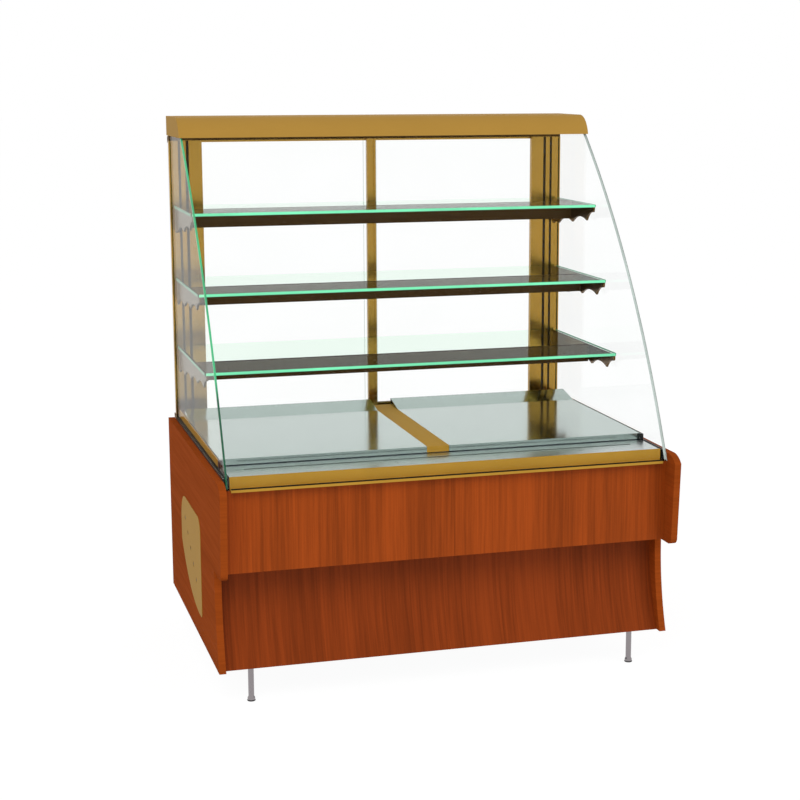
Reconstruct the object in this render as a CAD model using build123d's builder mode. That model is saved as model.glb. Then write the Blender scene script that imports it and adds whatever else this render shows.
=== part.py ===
from build123d import *
import math
import os

os.makedirs("parts", exist_ok=True)

# Pastry display case on a wooden base. Millimetres, +Z up, the front faces -Y.
# Depths are measured ahead of the case's back, heights above the underside of the wooden base.

# Overall sizes
case_width = 1300.0
case_depth = 965.0
leg_height = 100.0
base_height = 535.0
cover_height = 1461.5

# Wooden base
board = 19.0
step_height = 275.0
step_setback = 125.0
side_foot_setback = 78.0
side_low_setback = 16.0
side_low_radius = 20.0
side_hollow = 7.5
side_top_round = (50.0, 23.0)
front_panel_setback = 64.0
front_panel_board = 18.0
front_panel_gap = 6.0
front_panel_drop = 28.0
kick_board = 12.0
kick_tuck = 83.0
kick_bow = 10.0
kick_foot_setback = 36.0
soffit_board = 12.0

# Base frame, legs and rear panel
floor_sheet = 3.0
floor_flange = 40.0
floor_front_gap = 5.0
rear_skin = 2.0
rear_skin_inset = 2.0
rail_height = 40.0
rail_wall = 4.0
frame_rise = 2.0
bearer_size = 25.0
bearer_wall = 3.0
leg_radius = 8.0
leg_pad_radius = 10.5
leg_pad_height = 9.0
leg_flare = 5.0
leg_stud_radius = 5.0
leg_stud_length = 20.0
leg_hole_gap = 0.3
leg_nut_radius = 10.0
leg_nut_height = 12.0
leg_side_inset = 94.0
leg_front_inset = 11.0
leg_rear_depth = 92.0
louvre_columns = 3
louvre_rows = 7
louvre_width = 120.0
louvre_height = 8.0
louvre_pitch = 26.0
louvre_reach = 8.0
louvre_sheet = 1.2

# Sliding door tracks and doors
door_glass = 4.0
door_play = 0.5
track_front_wall = 1.5
track_mid_wall = 2.0
track_back_wall = 1.0
track_base = 4.0
track_lip = 12.0
head_track_height = 20.0
head_track_roof = 3.0
door_overlap = 20.0
door_side_gap = 7.0
door_lift = 5.0
pull_radius = 19.0
pull_hole_radius = 15.0
pull_wall = 2.0
pull_rim = 0.7
pull_rise = 398.0
pull_inset = 60.0
pull_sides = 36

# Posts, beam and cover
post_depth = 15.5
upright_width = 100.0
upright_gap = 1.5
centre_post_width = 28.0
groove_inset = 40.0
groove_depth = 3.0
groove_wide = 8.5
groove_narrow = 7.0
groove_gap = 13.5
post_groove = 5.0
post_gap = 16.0
beam_height = 68.0
beam_gap = 1.0
cover_sheet = 2.0
cover_drop = 57.5
cover_flat = 192.0
cover_depth = 263.0
liner_sheet = 2.0
lamp_radius = 8.0
lamp_depth = 130.0
lamp_past_upright = 10.5
lamp_slot = 24.0
lamp_cap = 14.0
lamp_sheet = 3.0

# Glass
bow_radius = 2642.4
bow_foot_reach = 7.5
bow_head_inset = 5.0
front_glass = 6.0
side_glass = 6.0
side_glass_inset = 5.0
glass_seal = 0.3
glass_seat = 7.0
side_glass_rise = 2.0
glass_head_rise = 11.0
glass_head_gap = 4.5
seal_inset = 1.0
seal_height = 7.0

# Channel that holds each side pane
channel_height = 28.0
channel_floor = 3.0
channel_gap = 4.0

# Gold front profile
profile_sheet = 4.0
profile_rise = 9.5
lip_reach = 22.0
lip_thickness = 7.0

# Deck
deck_rise = 27.0
deck_inset = 14.0
deck_sheet = 2.0
deck_wall = 4.0
deck_flange = 25.0
deck_flange_height = 4.0
deck_wall_drop = 29.0
deck_wall_setback = 3.0
deck_setback = 141.0
tray_gap = 0.5
tray_rear = 122.0
tray_crease = 167.0
tray_bend = 212.0
tray_crease_rise = 10.0
tray_rear_rise = 19.0
divider_half = 32.0
divider_lap = 8.0
cap_length = 11.0
ledge_sheet = 2.0
ledge_overlap = 14.0
ledge_under_tray = 4.0
slot_ahead = 52.0
slot_width = 9.0
slot_end = 52.5
rear_slots = 4
tub_wall = 25.0
tub_gap = 4.5
tub_ahead = 10.0
tub_rear = 45.0
tub_depth = 141.0
rim_rise = 6.0
drain_radius = 12.0

# Shelves
shelf_gap = 4.0
shelf_glass = 8.0
shelf_corner = 6.0
shelf_rear = 37.0
shelf_rises = (203.4, 413.0, 632.6)
shelf_depths = (524.5, 433.0, 341.0)
beam_setbacks = (204.5, 190.0, 186.0)
shelf_beam_height = 48.0
shelf_beam_depth = 20.0
shelf_beam_wall = 2.0
bracket_plate = 6.0
bracket_gap = 4.0
bracket_nose = 16.0
bracket_front = 38.0
bracket_root = 76.0
lobe_first = 56.0
lobe_pitch = 122.0
lobe_rise = 15.0

# Machinery in the base
compressor_inset = 441.0
compressor_depth = 330.0
compressor_radius = 72.0
compressor_height = 195.0
compressor_foot = 6.0
compressor_seam = 4.0
fan_inset = 301.0
fan_height = 155.0
fan_radius = 105.0
fan_clearance = 6.0
fan_blades = 5
blade_root = 26.0
blade_tip = 46.0
blade_sheet = 2.5
hub_length = 18.0
hub_gap = 8.0
condenser_width = 290.0
condenser_height = 290.0
condenser_depth = 60.0
condenser_rear = 90.0
condenser_fins = 9
fin_sheet = 3.0
coil_rows = 4
coil_flat = 20.0
shroud_depth = 34.0
shroud_sheet = 3.0
motor_gap = 20.0
motor_radius = 32.0
motor_length = 60.0
motor_foot = 16.0
motor_base = 4.0
shaft_radius = 4.0
shaft_play = 0.05
control_inset = 211.0
control_width = 150.0
control_high = 110.0
control_low = 270.0
control_depth = 70.0
control_sheet = 3.0
control_wing = 15.0
knob_radius = 19.0
knob_length = 16.0
knob_disc = 6.0
knob_grip = 8.0
knob_gap = 0.5
rocker_width = 20.0
rocker_high = 28.0
rocker_gap = 0.5
rocker_face = 5.0
rocker_tilt = 13.0
gland_radius = 12.0
evaporator_fins = 11
evaporator_height = 56.0
evaporator_plate = 6.0

# Side plates
plate_sheet = 1.5
plate_rear = 244.0
plate_length = 364.0
plate_low = 72.0
plate_high = 358.0
plate_waist = 215.0
plate_rear_round = 80.0
plate_front_round = 45.0
plate_tip_round = 14.0
plate_dot = 9.0
plate_dots = 5

# Places that follow from the sizes above
rear_y = case_depth / 2
inner_half = case_width / 2 - board
step_depth = case_depth - step_setback
side_foot_depth = case_depth - side_foot_setback
side_low_front = case_depth - side_low_setback
panel_front = case_depth - front_panel_setback
panel_back = panel_front - front_panel_board
front_panel_bottom = step_height + front_panel_gap
front_panel_top = base_height - front_panel_drop
kick_top_depth = panel_back - kick_tuck
kick_foot_depth = panel_front - kick_foot_setback
frame_foot = base_height + frame_rise
track_depth = track_front_wall + track_mid_wall + track_back_wall + 2 * (door_glass + 2 * door_play)
frame_front = track_depth + post_depth
upright_out = inner_half - upright_gap
upright_in = upright_out - upright_width
cover_lip = cover_height - cover_drop
post_top = cover_lip - post_gap
side_glass_out = inner_half - side_glass_inset
side_glass_in = side_glass_out - side_glass
lip_top = front_panel_top + lip_thickness
glass_foot = front_panel_top + glass_seat
side_glass_foot = glass_foot + side_glass_rise
glass_head = cover_lip + glass_head_rise
side_glass_head = glass_head - glass_head_gap
profile_face = panel_front
profile_top = base_height + profile_rise
deck_height = base_height + deck_rise
deck_half = inner_half - deck_inset
deck_front = profile_face - deck_setback
pull_height = deck_height + pull_rise
rim_height = base_height + rim_rise
tub_half = deck_half - tub_gap
tub_front = deck_front + tub_ahead
tub_floor = rim_height - tub_depth
slot_depth = deck_front + slot_ahead
slot_half_length = tub_half - slot_end
lamp_half_length = upright_in + lamp_past_upright
shelf_half = side_glass_in - shelf_gap
shelf_heights = [deck_height + rise for rise in shelf_rises]
shelf_fronts = [shelf_rear + depth for depth in shelf_depths]
compressor_x = inner_half - compressor_inset
fan_x = fan_inset - inner_half
control_x = inner_half - control_inset

# Centre of the bowed glass, from its radius and its places at the profile and at the cover's lip
bow_foot = (profile_face + bow_foot_reach, profile_top)
bow_head = (cover_depth - bow_head_inset, cover_lip)
bow_chord = math.dist(bow_foot, bow_head)
bow_offset = math.sqrt(bow_radius**2 - bow_chord**2 / 4)
bow_centre_depth = (bow_foot[0] + bow_head[0]) / 2 - bow_offset * (bow_head[1] - bow_foot[1]) / bow_chord
bow_centre_height = (bow_foot[1] + bow_head[1]) / 2 - bow_offset * (bow_foot[0] - bow_head[0]) / bow_chord


def ahead(depth):
    """Y of a point that lies this far ahead of the case's back."""
    return rear_y - depth


def up(height):
    """Z of a point that lies this far above the underside of the base."""
    return leg_height + height


def at(depth, height):
    """Point of a side-view profile."""
    return (ahead(depth), up(height))


def block(across, depths, heights, mode=Mode.ADD):
    """Rectangular block between limits across, ahead of the back and in height."""
    centre = (sum(across) / 2, ahead(sum(depths) / 2), up(sum(heights) / 2))
    with Locations(centre):
        Box(
            across[1] - across[0],
            depths[1] - depths[0],
            heights[1] - heights[0],
            mode=mode,
        )


def bow_depth(height, inward=0.0):
    """Depth of the bowed front glass at a height, or of a surface that far inside it."""
    radius = bow_radius - inward
    return bow_centre_depth + math.sqrt(radius**2 - (height - bow_centre_height) ** 2)


def bow_arc(low, high, inward=0.0):
    """Arc of the bowed glass in side view, from a low to a high point."""
    middle = (low + high) / 2
    points = [at(bow_depth(h, inward), h) for h in (low, middle, high)]
    ThreePointArc(*points)


# Side panels of the base, with a stepped front and a hollowed foot
with BuildPart() as side_panel_right:
    with BuildSketch(Plane.YZ.offset(inner_half)):
        with BuildLine():
            foot = at(side_foot_depth, 0)
            step = at(step_depth, step_height)
            hollow = at((side_foot_depth + step_depth) / 2 - side_hollow, step_height * 0.38)
            toe = at(side_low_front, step_height)
            crown_start = at(case_depth - side_top_round[0], base_height)
            crown_end = at(case_depth, base_height - side_top_round[1])
            Line(at(0, 0), foot)
            ThreePointArc(foot, hollow, step)
            Line(step, toe)
            Line(toe, crown_end)
            TangentArc(crown_start, crown_end, tangent=(-1, 0))
            Line(crown_start, at(0, base_height))
            Line(at(0, base_height), at(0, 0))
        make_face()
    extrude(amount=board)
    toe_edge = side_panel_right.edges().filter_by(Axis.X).sort_by_distance(
        (inner_half, ahead(side_low_front), up(step_height))
    )[0]
    fillet(toe_edge, side_low_radius)
side_panel_right.part.label = "side_panel_right"
export_step(side_panel_right.part, "parts/side_panel_right.step")

with BuildPart() as side_panel_left:
    mirror(side_panel_right.part, about=Plane.YZ)
side_panel_left.part.label = "side_panel_left"
export_step(side_panel_left.part, "parts/side_panel_left.step")

# Front boards: an upright upper panel and a bowed kick panel tucked under it
with BuildPart() as front_panel_upper:
    block((-inner_half, inner_half), (panel_back, panel_front), (front_panel_bottom, front_panel_top))
front_panel_upper.part.label = "front_panel_upper"
export_step(front_panel_upper.part, "parts/front_panel_upper.step")

with BuildPart() as front_panel_lower:
    with BuildSketch(Plane.YZ.offset(-inner_half)):
        with BuildLine():
            kick_mid_height = front_panel_bottom * 0.41
            kick_mid_depth = (kick_top_depth + kick_foot_depth) / 2 - kick_bow
            ThreePointArc(
                at(kick_foot_depth, 0),
                at(kick_mid_depth, kick_mid_height),
                at(kick_top_depth, front_panel_bottom),
            )
            Line(at(kick_top_depth, front_panel_bottom), at(kick_top_depth - kick_board, front_panel_bottom))
            ThreePointArc(
                at(kick_top_depth - kick_board, front_panel_bottom),
                at(kick_mid_depth - kick_board, kick_mid_height),
                at(kick_foot_depth - kick_board, 0),
            )
            Line(at(kick_foot_depth - kick_board, 0), at(kick_foot_depth, 0))
        make_face()
    extrude(amount=2 * inner_half)
front_panel_lower.part.label = "front_panel_lower"
export_step(front_panel_lower.part, "parts/front_panel_lower.step")

with BuildPart() as front_soffit:
    block(
        (-inner_half, inner_half),
        (kick_top_depth - kick_board, panel_back),
        (front_panel_bottom, front_panel_bottom + soffit_board),
    )
front_soffit.part.label = "front_soffit"
export_step(front_soffit.part, "parts/front_soffit.step")

# Floor pan with turned-up edges and a nut over each leg
floor_rear = rear_skin_inset + rear_skin
floor_front = kick_foot_depth - kick_board - floor_front_gap
leg_front_depth = floor_front - leg_front_inset
leg_places = [
    (side * (case_width / 2 - leg_side_inset), ahead(depth))
    for side in (-1, 1)
    for depth in (leg_front_depth, leg_rear_depth)
]
with BuildPart() as base_floor:
    block((-inner_half, inner_half), (floor_rear, floor_front), (0, floor_sheet))
    for side in (-1, 1):
        edge = sorted((side * inner_half, side * (inner_half - floor_sheet)))
        block(edge, (floor_rear, kick_top_depth - kick_board - floor_front_gap), (0, floor_flange))
    block((-inner_half, inner_half), (floor_rear, floor_rear + floor_sheet), (0, floor_flange))
    with BuildSketch(Plane.XY.offset(up(floor_sheet))):
        with Locations(*leg_places):
            RegularPolygon(leg_nut_radius, 6)
    extrude(amount=leg_nut_height)
    with Locations(*[(x, y, up(0)) for x, y in leg_places]):
        Cylinder(leg_stud_radius + leg_hole_gap, 4 * leg_nut_height, mode=Mode.SUBTRACT)
base_floor.part.label = "base_floor"
export_step(base_floor.part, "parts/base_floor.step")


def build_leg(place):
    """Turned chrome leg with a flared pad and a stud into the floor pan."""
    with BuildPart() as leg:
        with BuildSketch(Plane.XZ):
            with BuildLine():
                Polyline(
                    (0, 0),
                    (leg_pad_radius, 0),
                    (leg_pad_radius, leg_pad_height),
                    (leg_radius, leg_pad_height + leg_flare),
                    (leg_radius, leg_height),
                    (leg_stud_radius, leg_height),
                    (leg_stud_radius, leg_height + leg_stud_length),
                    (0, leg_height + leg_stud_length),
                    close=True,
                )
            make_face()
        revolve(axis=Axis.Z)
    return leg.part.moved(Location((place[0], place[1], 0)))


with BuildPart() as legs:
    for leg_place in leg_places:
        add(build_leg(leg_place))
legs.part.label = "legs"
export_step(legs.part, "parts/legs.step")

# Steel rail across the back and two folded bearers that tie the side panels and carry the tub
with BuildPart() as rear_rail:
    block((-inner_half, inner_half), (floor_rear, frame_front), (frame_foot - rail_height, frame_foot))
    block(
        (-inner_half, inner_half),
        (floor_rear + rail_wall, frame_front - rail_wall),
        (frame_foot - rail_height, frame_foot - rail_wall),
        mode=Mode.SUBTRACT,
    )
rear_rail.part.label = "rear_rail"
export_step(rear_rail.part, "parts/rear_rail.step")

rear_bearer = tub_rear + 3 * tub_wall
front_bearer = tub_front - 3 * tub_wall - bearer_size
with BuildPart() as tub_bearers:
    for bearer in (rear_bearer, front_bearer):
        block(
            (-inner_half, inner_half),
            (bearer, bearer + bearer_size),
            (tub_floor - bearer_size, tub_floor),
        )
        block(
            (-inner_half, inner_half),
            (bearer + bearer_wall, bearer + bearer_size - bearer_wall),
            (tub_floor - bearer_size, tub_floor - bearer_wall),
            mode=Mode.SUBTRACT,
        )
tub_bearers.part.label = "tub_bearers"
export_step(tub_bearers.part, "parts/tub_bearers.step")

# Rear service panel with pressed louvres, an opening for the controls and a cable hole
skin_top = frame_foot - track_base
louvre_low = fan_height - (louvre_rows - 1) * louvre_pitch / 2
louvre_left = fan_x - (louvre_columns - 1) / 2 * (louvre_width + louvre_pitch)
louvre_spots = [
    (louvre_left + column * (louvre_width + louvre_pitch), louvre_low + row * louvre_pitch)
    for column in range(louvre_columns)
    for row in range(louvre_rows)
]
gland_height = control_low - 3 * gland_radius
with BuildPart() as rear_panel:
    block((-inner_half, inner_half), (rear_skin_inset, floor_rear), (0, skin_top))
    for spot_x, spot_height in louvre_spots:
        with BuildSketch(Plane.YZ.offset(spot_x - louvre_width / 2)):
            with BuildLine():
                Polyline(
                    at(floor_rear, spot_height - louvre_height / 2 - louvre_sheet),
                    at(floor_rear + louvre_reach, spot_height + louvre_height / 2),
                    at(floor_rear + louvre_reach, spot_height + louvre_height / 2 + louvre_sheet),
                    at(floor_rear, spot_height - louvre_height / 2 + louvre_sheet),
                    close=True,
                )
            make_face()
        extrude(amount=louvre_width)
        block(
            (spot_x - louvre_width / 2, spot_x + louvre_width / 2),
            (0, floor_rear),
            (spot_height - louvre_height / 2 + louvre_sheet, spot_height + louvre_height / 2),
            mode=Mode.SUBTRACT,
        )
    block(
        (control_x - control_width / 2, control_x + control_width / 2),
        (0, floor_rear),
        (control_low, control_low + control_high),
        mode=Mode.SUBTRACT,
    )
    with Locations((control_x, ahead(floor_rear / 2), up(gland_height))):
        Cylinder(gland_radius - rear_skin, 2 * floor_rear, rotation=(90, 0, 0), mode=Mode.SUBTRACT)
rear_panel.part.label = "rear_panel"
export_step(rear_panel.part, "parts/rear_panel.step")

with BuildPart() as cable_gland:
    gland_place = (control_x, up(gland_height))
    with BuildSketch(Plane.XZ.offset(-ahead(floor_rear))):
        with Locations(gland_place):
            RegularPolygon(gland_radius, 6)
    extrude(amount=gland_radius / 2)
    with BuildSketch(Plane.XZ.offset(-ahead(floor_rear))):
        with Locations(gland_place):
            Circle(gland_radius - rear_skin)
    extrude(amount=-floor_rear)
    with BuildSketch(Plane.XZ.offset(-ahead(floor_rear + gland_radius))):
        with Locations(gland_place):
            Circle(gland_radius / 2)
    extrude(amount=-2 * gland_radius, mode=Mode.SUBTRACT)
cable_gland.part.label = "cable_gland"
export_step(cable_gland.part, "parts/cable_gland.step")

# Insulated tub under the deck
with BuildPart() as cold_tub:
    block((-tub_half, tub_half), (tub_rear, tub_front), (tub_floor, rim_height))
    tub_mouth = cold_tub.faces().sort_by(Axis.Z)[-1]
    offset(amount=-tub_wall, openings=tub_mouth)
    with Locations((0, ahead((tub_rear + tub_front) / 2), up(tub_floor))):
        Cylinder(drain_radius, 3 * tub_wall, mode=Mode.SUBTRACT)
cold_tub.part.label = "cold_tub"
export_step(cold_tub.part, "parts/cold_tub.step")

# Finned plate evaporator on the tub's floor, with a flat header along its front and rear edges
evaporator_rear = tub_rear + 4 * tub_wall
evaporator_front = tub_front - 8 * tub_wall
evaporator_half = tub_half - 5 * tub_wall
evaporator_low = tub_floor + tub_wall
with BuildPart() as evaporator:
    block(
        (-evaporator_half, evaporator_half),
        (evaporator_rear, evaporator_front),
        (evaporator_low, evaporator_low + evaporator_plate),
    )
    fin_step = (2 * evaporator_half - fin_sheet) / (evaporator_fins - 1)
    fin_low = evaporator_low + evaporator_plate
    fin_high = evaporator_low + evaporator_height
    with Locations((0, ahead((evaporator_rear + evaporator_front) / 2), up((fin_low + fin_high) / 2))):
        with GridLocations(fin_step, 0, evaporator_fins, 1):
            Box(fin_sheet, evaporator_front - evaporator_rear, fin_high - fin_low)
    for header in (evaporator_rear, evaporator_front - coil_flat):
        block(
            (-evaporator_half, evaporator_half),
            (header, header + coil_flat),
            (fin_high, fin_high + evaporator_plate),
        )
evaporator.part.label = "evaporator"
export_step(evaporator.part, "parts/evaporator.step")

# Gold edge along each side of the deck, with a black cap on its front end
flange_top = rim_height + deck_flange_height
wall_bottom = deck_height - deck_wall_drop
deck_inner = deck_half - deck_wall
wall_front = deck_front - deck_wall_setback
with BuildPart() as deck_edges:
    block((deck_inner, deck_half), (frame_front, wall_front), (wall_bottom, deck_height))
    block((tub_half - deck_flange, deck_inner), (tub_rear, tub_front - tub_wall), (rim_height, flange_top))
    mirror(deck_edges.part, about=Plane.YZ)
deck_edges.part.label = "deck_edges"
export_step(deck_edges.part, "parts/deck_edges.step")

ledge_top = rim_height + ledge_sheet
with BuildPart() as end_caps:
    cap_front = deck_front + cap_length
    block((deck_half - cap_length, deck_half), (deck_front + tray_gap, cap_front), (ledge_top, deck_height))
    block((deck_inner, deck_half), (wall_front, cap_front), (wall_bottom, deck_height))
    mirror(end_caps.part, about=Plane.YZ)
end_caps.part.label = "end_caps"
export_step(end_caps.part, "parts/end_caps.step")

# Bearer and gold cover strip between the two trays
with BuildPart() as deck_bearer:
    block(
        (-divider_half - divider_lap, divider_half + divider_lap),
        (tub_rear + tub_wall, tub_front - tub_wall),
        (flange_top - bearer_size, flange_top),
    )
deck_bearer.part.label = "deck_bearer"
export_step(deck_bearer.part, "parts/deck_bearer.step")

with BuildPart() as deck_divider:
    block((-divider_half, divider_half), (tray_rear, deck_front), (flange_top, deck_height))
    divider_under = deck_divider.faces().sort_by(Axis.Z)[0]
    offset(amount=-deck_sheet, openings=divider_under)
deck_divider.part.label = "deck_divider"
export_step(deck_divider.part, "parts/deck_divider.step")

# Stainless trays: a flat floor, a turned-down front and a creased upstand at the back
tray_in = divider_half + tray_gap
tray_out = deck_inner - tray_gap
with BuildPart() as tray_right:
    with BuildSketch(Plane.YZ.offset(tray_in)):
        with BuildLine():
            Polyline(
                at(deck_front, flange_top),
                at(deck_front, deck_height),
                at(tray_bend, deck_height),
                at(tray_crease, deck_height + tray_crease_rise),
                at(tray_rear, deck_height + tray_rear_rise),
                at(tray_rear, flange_top),
                close=True,
            )
        make_face()
    extrude(amount=tray_out - tray_in)
    tray_under = tray_right.faces().sort_by(Axis.Z)[0]
    offset(amount=-deck_sheet, openings=tray_under)
tray_right.part.label = "tray_right"
export_step(tray_right.part, "parts/tray_right.step")

with BuildPart() as tray_left:
    mirror(tray_right.part, about=Plane.YZ)
tray_left.part.label = "tray_left"
export_step(tray_left.part, "parts/tray_left.step")

# Air slot ledge between the trays and the front profile, and the plate behind the trays
profile_back = profile_face - profile_sheet
ledge_rear = tub_front - ledge_overlap
with BuildPart() as front_ledge:
    block((-tub_half, tub_half), (ledge_rear, profile_back), (rim_height, ledge_top))
    block((-tub_half, tub_half), (profile_back - ledge_sheet, profile_back), (front_panel_top, ledge_top))
    with BuildSketch(Plane.XY.offset(up(ledge_top))):
        with Locations((0, ahead(slot_depth))):
            SlotOverall(2 * slot_half_length, slot_width)
    extrude(amount=-ledge_sheet, mode=Mode.SUBTRACT)
front_ledge.part.label = "front_ledge"
export_step(front_ledge.part, "parts/front_ledge.step")

bearer_half = divider_half + divider_lap
rear_ledge_front = tray_rear + ledge_under_tray
with BuildPart() as rear_ledge:
    block((-tub_half, tub_half), (frame_front, tub_rear), (rim_height, ledge_top))
    block(
        (-tub_half + deck_flange, tub_half - deck_flange),
        (frame_front, rear_ledge_front),
        (rim_height, ledge_top),
    )
    block(
        (-bearer_half, bearer_half),
        (tub_rear + tub_wall, rear_ledge_front),
        (rim_height, ledge_top),
        mode=Mode.SUBTRACT,
    )
    slots_across = tub_half - deck_flange - bearer_half
    rear_slot_pitch = slots_across / (rear_slots + 1)
    rear_slot_depth = (tub_rear + tub_wall + tray_rear) / 2
    for side in (-1, 1):
        with Locations((side * (bearer_half + slots_across / 2), ahead(rear_slot_depth), up(rim_height))):
            with GridLocations(rear_slot_pitch, 0, rear_slots, 1):
                Box(rear_slot_pitch * 0.8, slot_width, 4 * ledge_sheet, mode=Mode.SUBTRACT)
rear_ledge.part.label = "rear_ledge"
export_step(rear_ledge.part, "parts/rear_ledge.step")

# Gold front profile with the lip that carries the bowed glass
with BuildPart() as front_profile:
    with BuildSketch(Plane.YZ.offset(-deck_inner)):
        with BuildLine():
            Polyline(
                at(profile_back, front_panel_top),
                at(profile_face + lip_reach, front_panel_top),
                at(profile_face + lip_reach, lip_top),
                at(profile_face, lip_top),
                at(profile_face, profile_top),
                at(profile_back, profile_top),
                close=True,
            )
        make_face()
    extrude(amount=2 * deck_inner)
front_profile.part.label = "front_profile"
export_step(front_profile.part, "parts/front_profile.step")

# Black channels that hold the side panes
channel_low = side_glass_foot - channel_floor
channel_front = bow_depth(channel_low + channel_height, front_glass) - channel_gap
with BuildPart() as side_channels:
    block((deck_half, inner_half), (frame_front, channel_front), (channel_low, channel_low + channel_height))
    block(
        (side_glass_in - glass_seal, side_glass_out + glass_seal),
        (frame_front, channel_front),
        (side_glass_foot, channel_low + channel_height),
        mode=Mode.SUBTRACT,
    )
    mirror(side_channels.part, about=Plane.YZ)
side_channels.part.label = "side_channels"
export_step(side_channels.part, "parts/side_channels.step")

# Bowed front glass
with BuildPart() as front_pane:
    with BuildSketch(Plane.YZ.offset(-side_glass_out)):
        with BuildLine():
            bow_arc(glass_foot, glass_head)
            Line(at(bow_depth(glass_head), glass_head), at(bow_depth(glass_head, front_glass), glass_head))
            bow_arc(glass_foot, glass_head, front_glass)
            Line(at(bow_depth(glass_foot), glass_foot), at(bow_depth(glass_foot, front_glass), glass_foot))
        make_face()
    extrude(amount=2 * side_glass_out)
front_pane.part.label = "front_pane"
export_step(front_pane.part, "parts/front_pane.step")

# Side panes, cut along the bow of the front glass
pane_inward = front_glass + glass_seal
with BuildPart() as side_pane_right:
    with BuildSketch(Plane.YZ.offset(side_glass_in)):
        with BuildLine():
            foot_front = at(bow_depth(side_glass_foot, pane_inward), side_glass_foot)
            head_front = at(bow_depth(side_glass_head, pane_inward), side_glass_head)
            bow_arc(side_glass_foot, side_glass_head, pane_inward)
            Line(head_front, at(frame_front, side_glass_head))
            Line(at(frame_front, side_glass_head), at(frame_front, side_glass_foot))
            Line(at(frame_front, side_glass_foot), foot_front)
        make_face()
    extrude(amount=side_glass)
side_pane_right.part.label = "side_pane_right"
export_step(side_pane_right.part, "parts/side_pane_right.step")

with BuildPart() as side_pane_left:
    mirror(side_pane_right.part, about=Plane.YZ)
side_pane_left.part.label = "side_pane_left"
export_step(side_pane_left.part, "parts/side_pane_left.step")

# Grooved corner uprights and the centre post
groove_floor = frame_front - groove_depth
groove_start = upright_in + groove_inset
with BuildPart() as upright_right:
    block((upright_in, upright_out), (track_depth, frame_front), (frame_foot, post_top))
    block(
        (groove_start, groove_start + groove_wide),
        (groove_floor, frame_front),
        (frame_foot, post_top),
        mode=Mode.SUBTRACT,
    )
    second_groove = groove_start + groove_wide + groove_gap
    block(
        (second_groove, second_groove + groove_narrow),
        (groove_floor, frame_front),
        (frame_foot, post_top),
        mode=Mode.SUBTRACT,
    )
upright_right.part.label = "upright_right"
export_step(upright_right.part, "parts/upright_right.step")

with BuildPart() as upright_left:
    mirror(upright_right.part, about=Plane.YZ)
upright_left.part.label = "upright_left"
export_step(upright_left.part, "parts/upright_left.step")

with BuildPart() as centre_post:
    block((-centre_post_width / 2, centre_post_width / 2), (track_depth, frame_front), (frame_foot, post_top))
    block(
        (post_groove / 2, post_groove * 1.5),
        (groove_floor, frame_front),
        (frame_foot, post_top),
        mode=Mode.SUBTRACT,
    )
centre_post.part.label = "centre_post"
export_step(centre_post.part, "parts/centre_post.step")

with BuildPart() as head_beam:
    beam_half = upright_out - beam_gap
    block((-beam_half, beam_half), (track_depth, frame_front), (post_top, post_top + beam_height))
head_beam.part.label = "head_beam"
export_step(head_beam.part, "parts/head_beam.step")


# Door tracks: three walls with a groove for each door
def track_walls(half, heights):
    """Walls of a door track between two heights."""
    lane = door_glass + 2 * door_play
    mid_start = track_back_wall + lane
    front_start = mid_start + track_mid_wall + lane
    block((-half, half), (0, track_back_wall), heights)
    block((-half, half), (mid_start, mid_start + track_mid_wall), heights)
    block((-half, half), (front_start, front_start + track_front_wall), heights)


sill_top = frame_foot + track_base
with BuildPart() as sill_track:
    block((-inner_half, inner_half), (0, track_depth), (frame_foot, sill_top))
    track_walls(inner_half, (frame_foot, frame_foot + track_lip))
sill_track.part.label = "sill_track"
export_step(sill_track.part, "parts/sill_track.step")

head_track_top = cover_lip - rear_skin
head_track_low = head_track_top - head_track_height
with BuildPart() as head_track:
    block((-upright_out, upright_out), (0, track_depth), (head_track_top - head_track_roof, head_track_top))
    track_walls(upright_out, (head_track_low, head_track_top))
head_track.part.label = "head_track"
export_step(head_track.part, "parts/head_track.step")

# Sliding rear doors with a round finger ring
door_low = sill_top + door_play
door_high = head_track_top - head_track_roof - door_lift
outer_lane = track_back_wall + door_play
inner_lane = outer_lane + door_glass + 2 * door_play + track_mid_wall
door_edge = inner_half - door_side_gap


def door_pane(across, lane, ring_x):
    """Door glass with the hole for its finger ring."""
    block(across, (lane, lane + door_glass), (door_low, door_high))
    with Locations((ring_x, ahead(lane + door_glass / 2), up(pull_height))):
        Cylinder(pull_hole_radius + pull_rim, 3 * door_glass, rotation=(90, 0, 0), mode=Mode.SUBTRACT)


def build_ring(lane, ring_x):
    """Finger ring that fits the hole, with a rim on both faces of the glass."""
    ring_face = Plane.XZ.offset(-ahead(lane - pull_rim))
    glass_face = Plane.XZ.offset(-ahead(lane))
    with BuildPart() as ring:
        with BuildSketch(ring_face):
            with Locations((ring_x, up(pull_height))):
                RegularPolygon(pull_radius, pull_sides)
        extrude(amount=door_glass + 2 * pull_rim)
        with BuildSketch(glass_face):
            with Locations((ring_x, up(pull_height))):
                Circle(2 * pull_radius)
                RegularPolygon(pull_hole_radius + pull_rim, pull_sides, mode=Mode.SUBTRACT)
        extrude(amount=door_glass, mode=Mode.SUBTRACT)
        with BuildSketch(ring_face):
            with Locations((ring_x, up(pull_height))):
                RegularPolygon(pull_hole_radius - pull_wall, pull_sides)
        extrude(amount=door_glass + 2 * pull_rim, mode=Mode.SUBTRACT)
    return ring.part


with BuildPart() as door_left:
    door_pane((-door_edge, door_overlap), inner_lane, -door_edge + pull_inset)
door_left.part.label = "door_left"
export_step(door_left.part, "parts/door_left.step")

with BuildPart() as door_ring_left:
    add(build_ring(inner_lane, -door_edge + pull_inset))
door_ring_left.part.label = "door_ring_left"
export_step(door_ring_left.part, "parts/door_ring_left.step")

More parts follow.
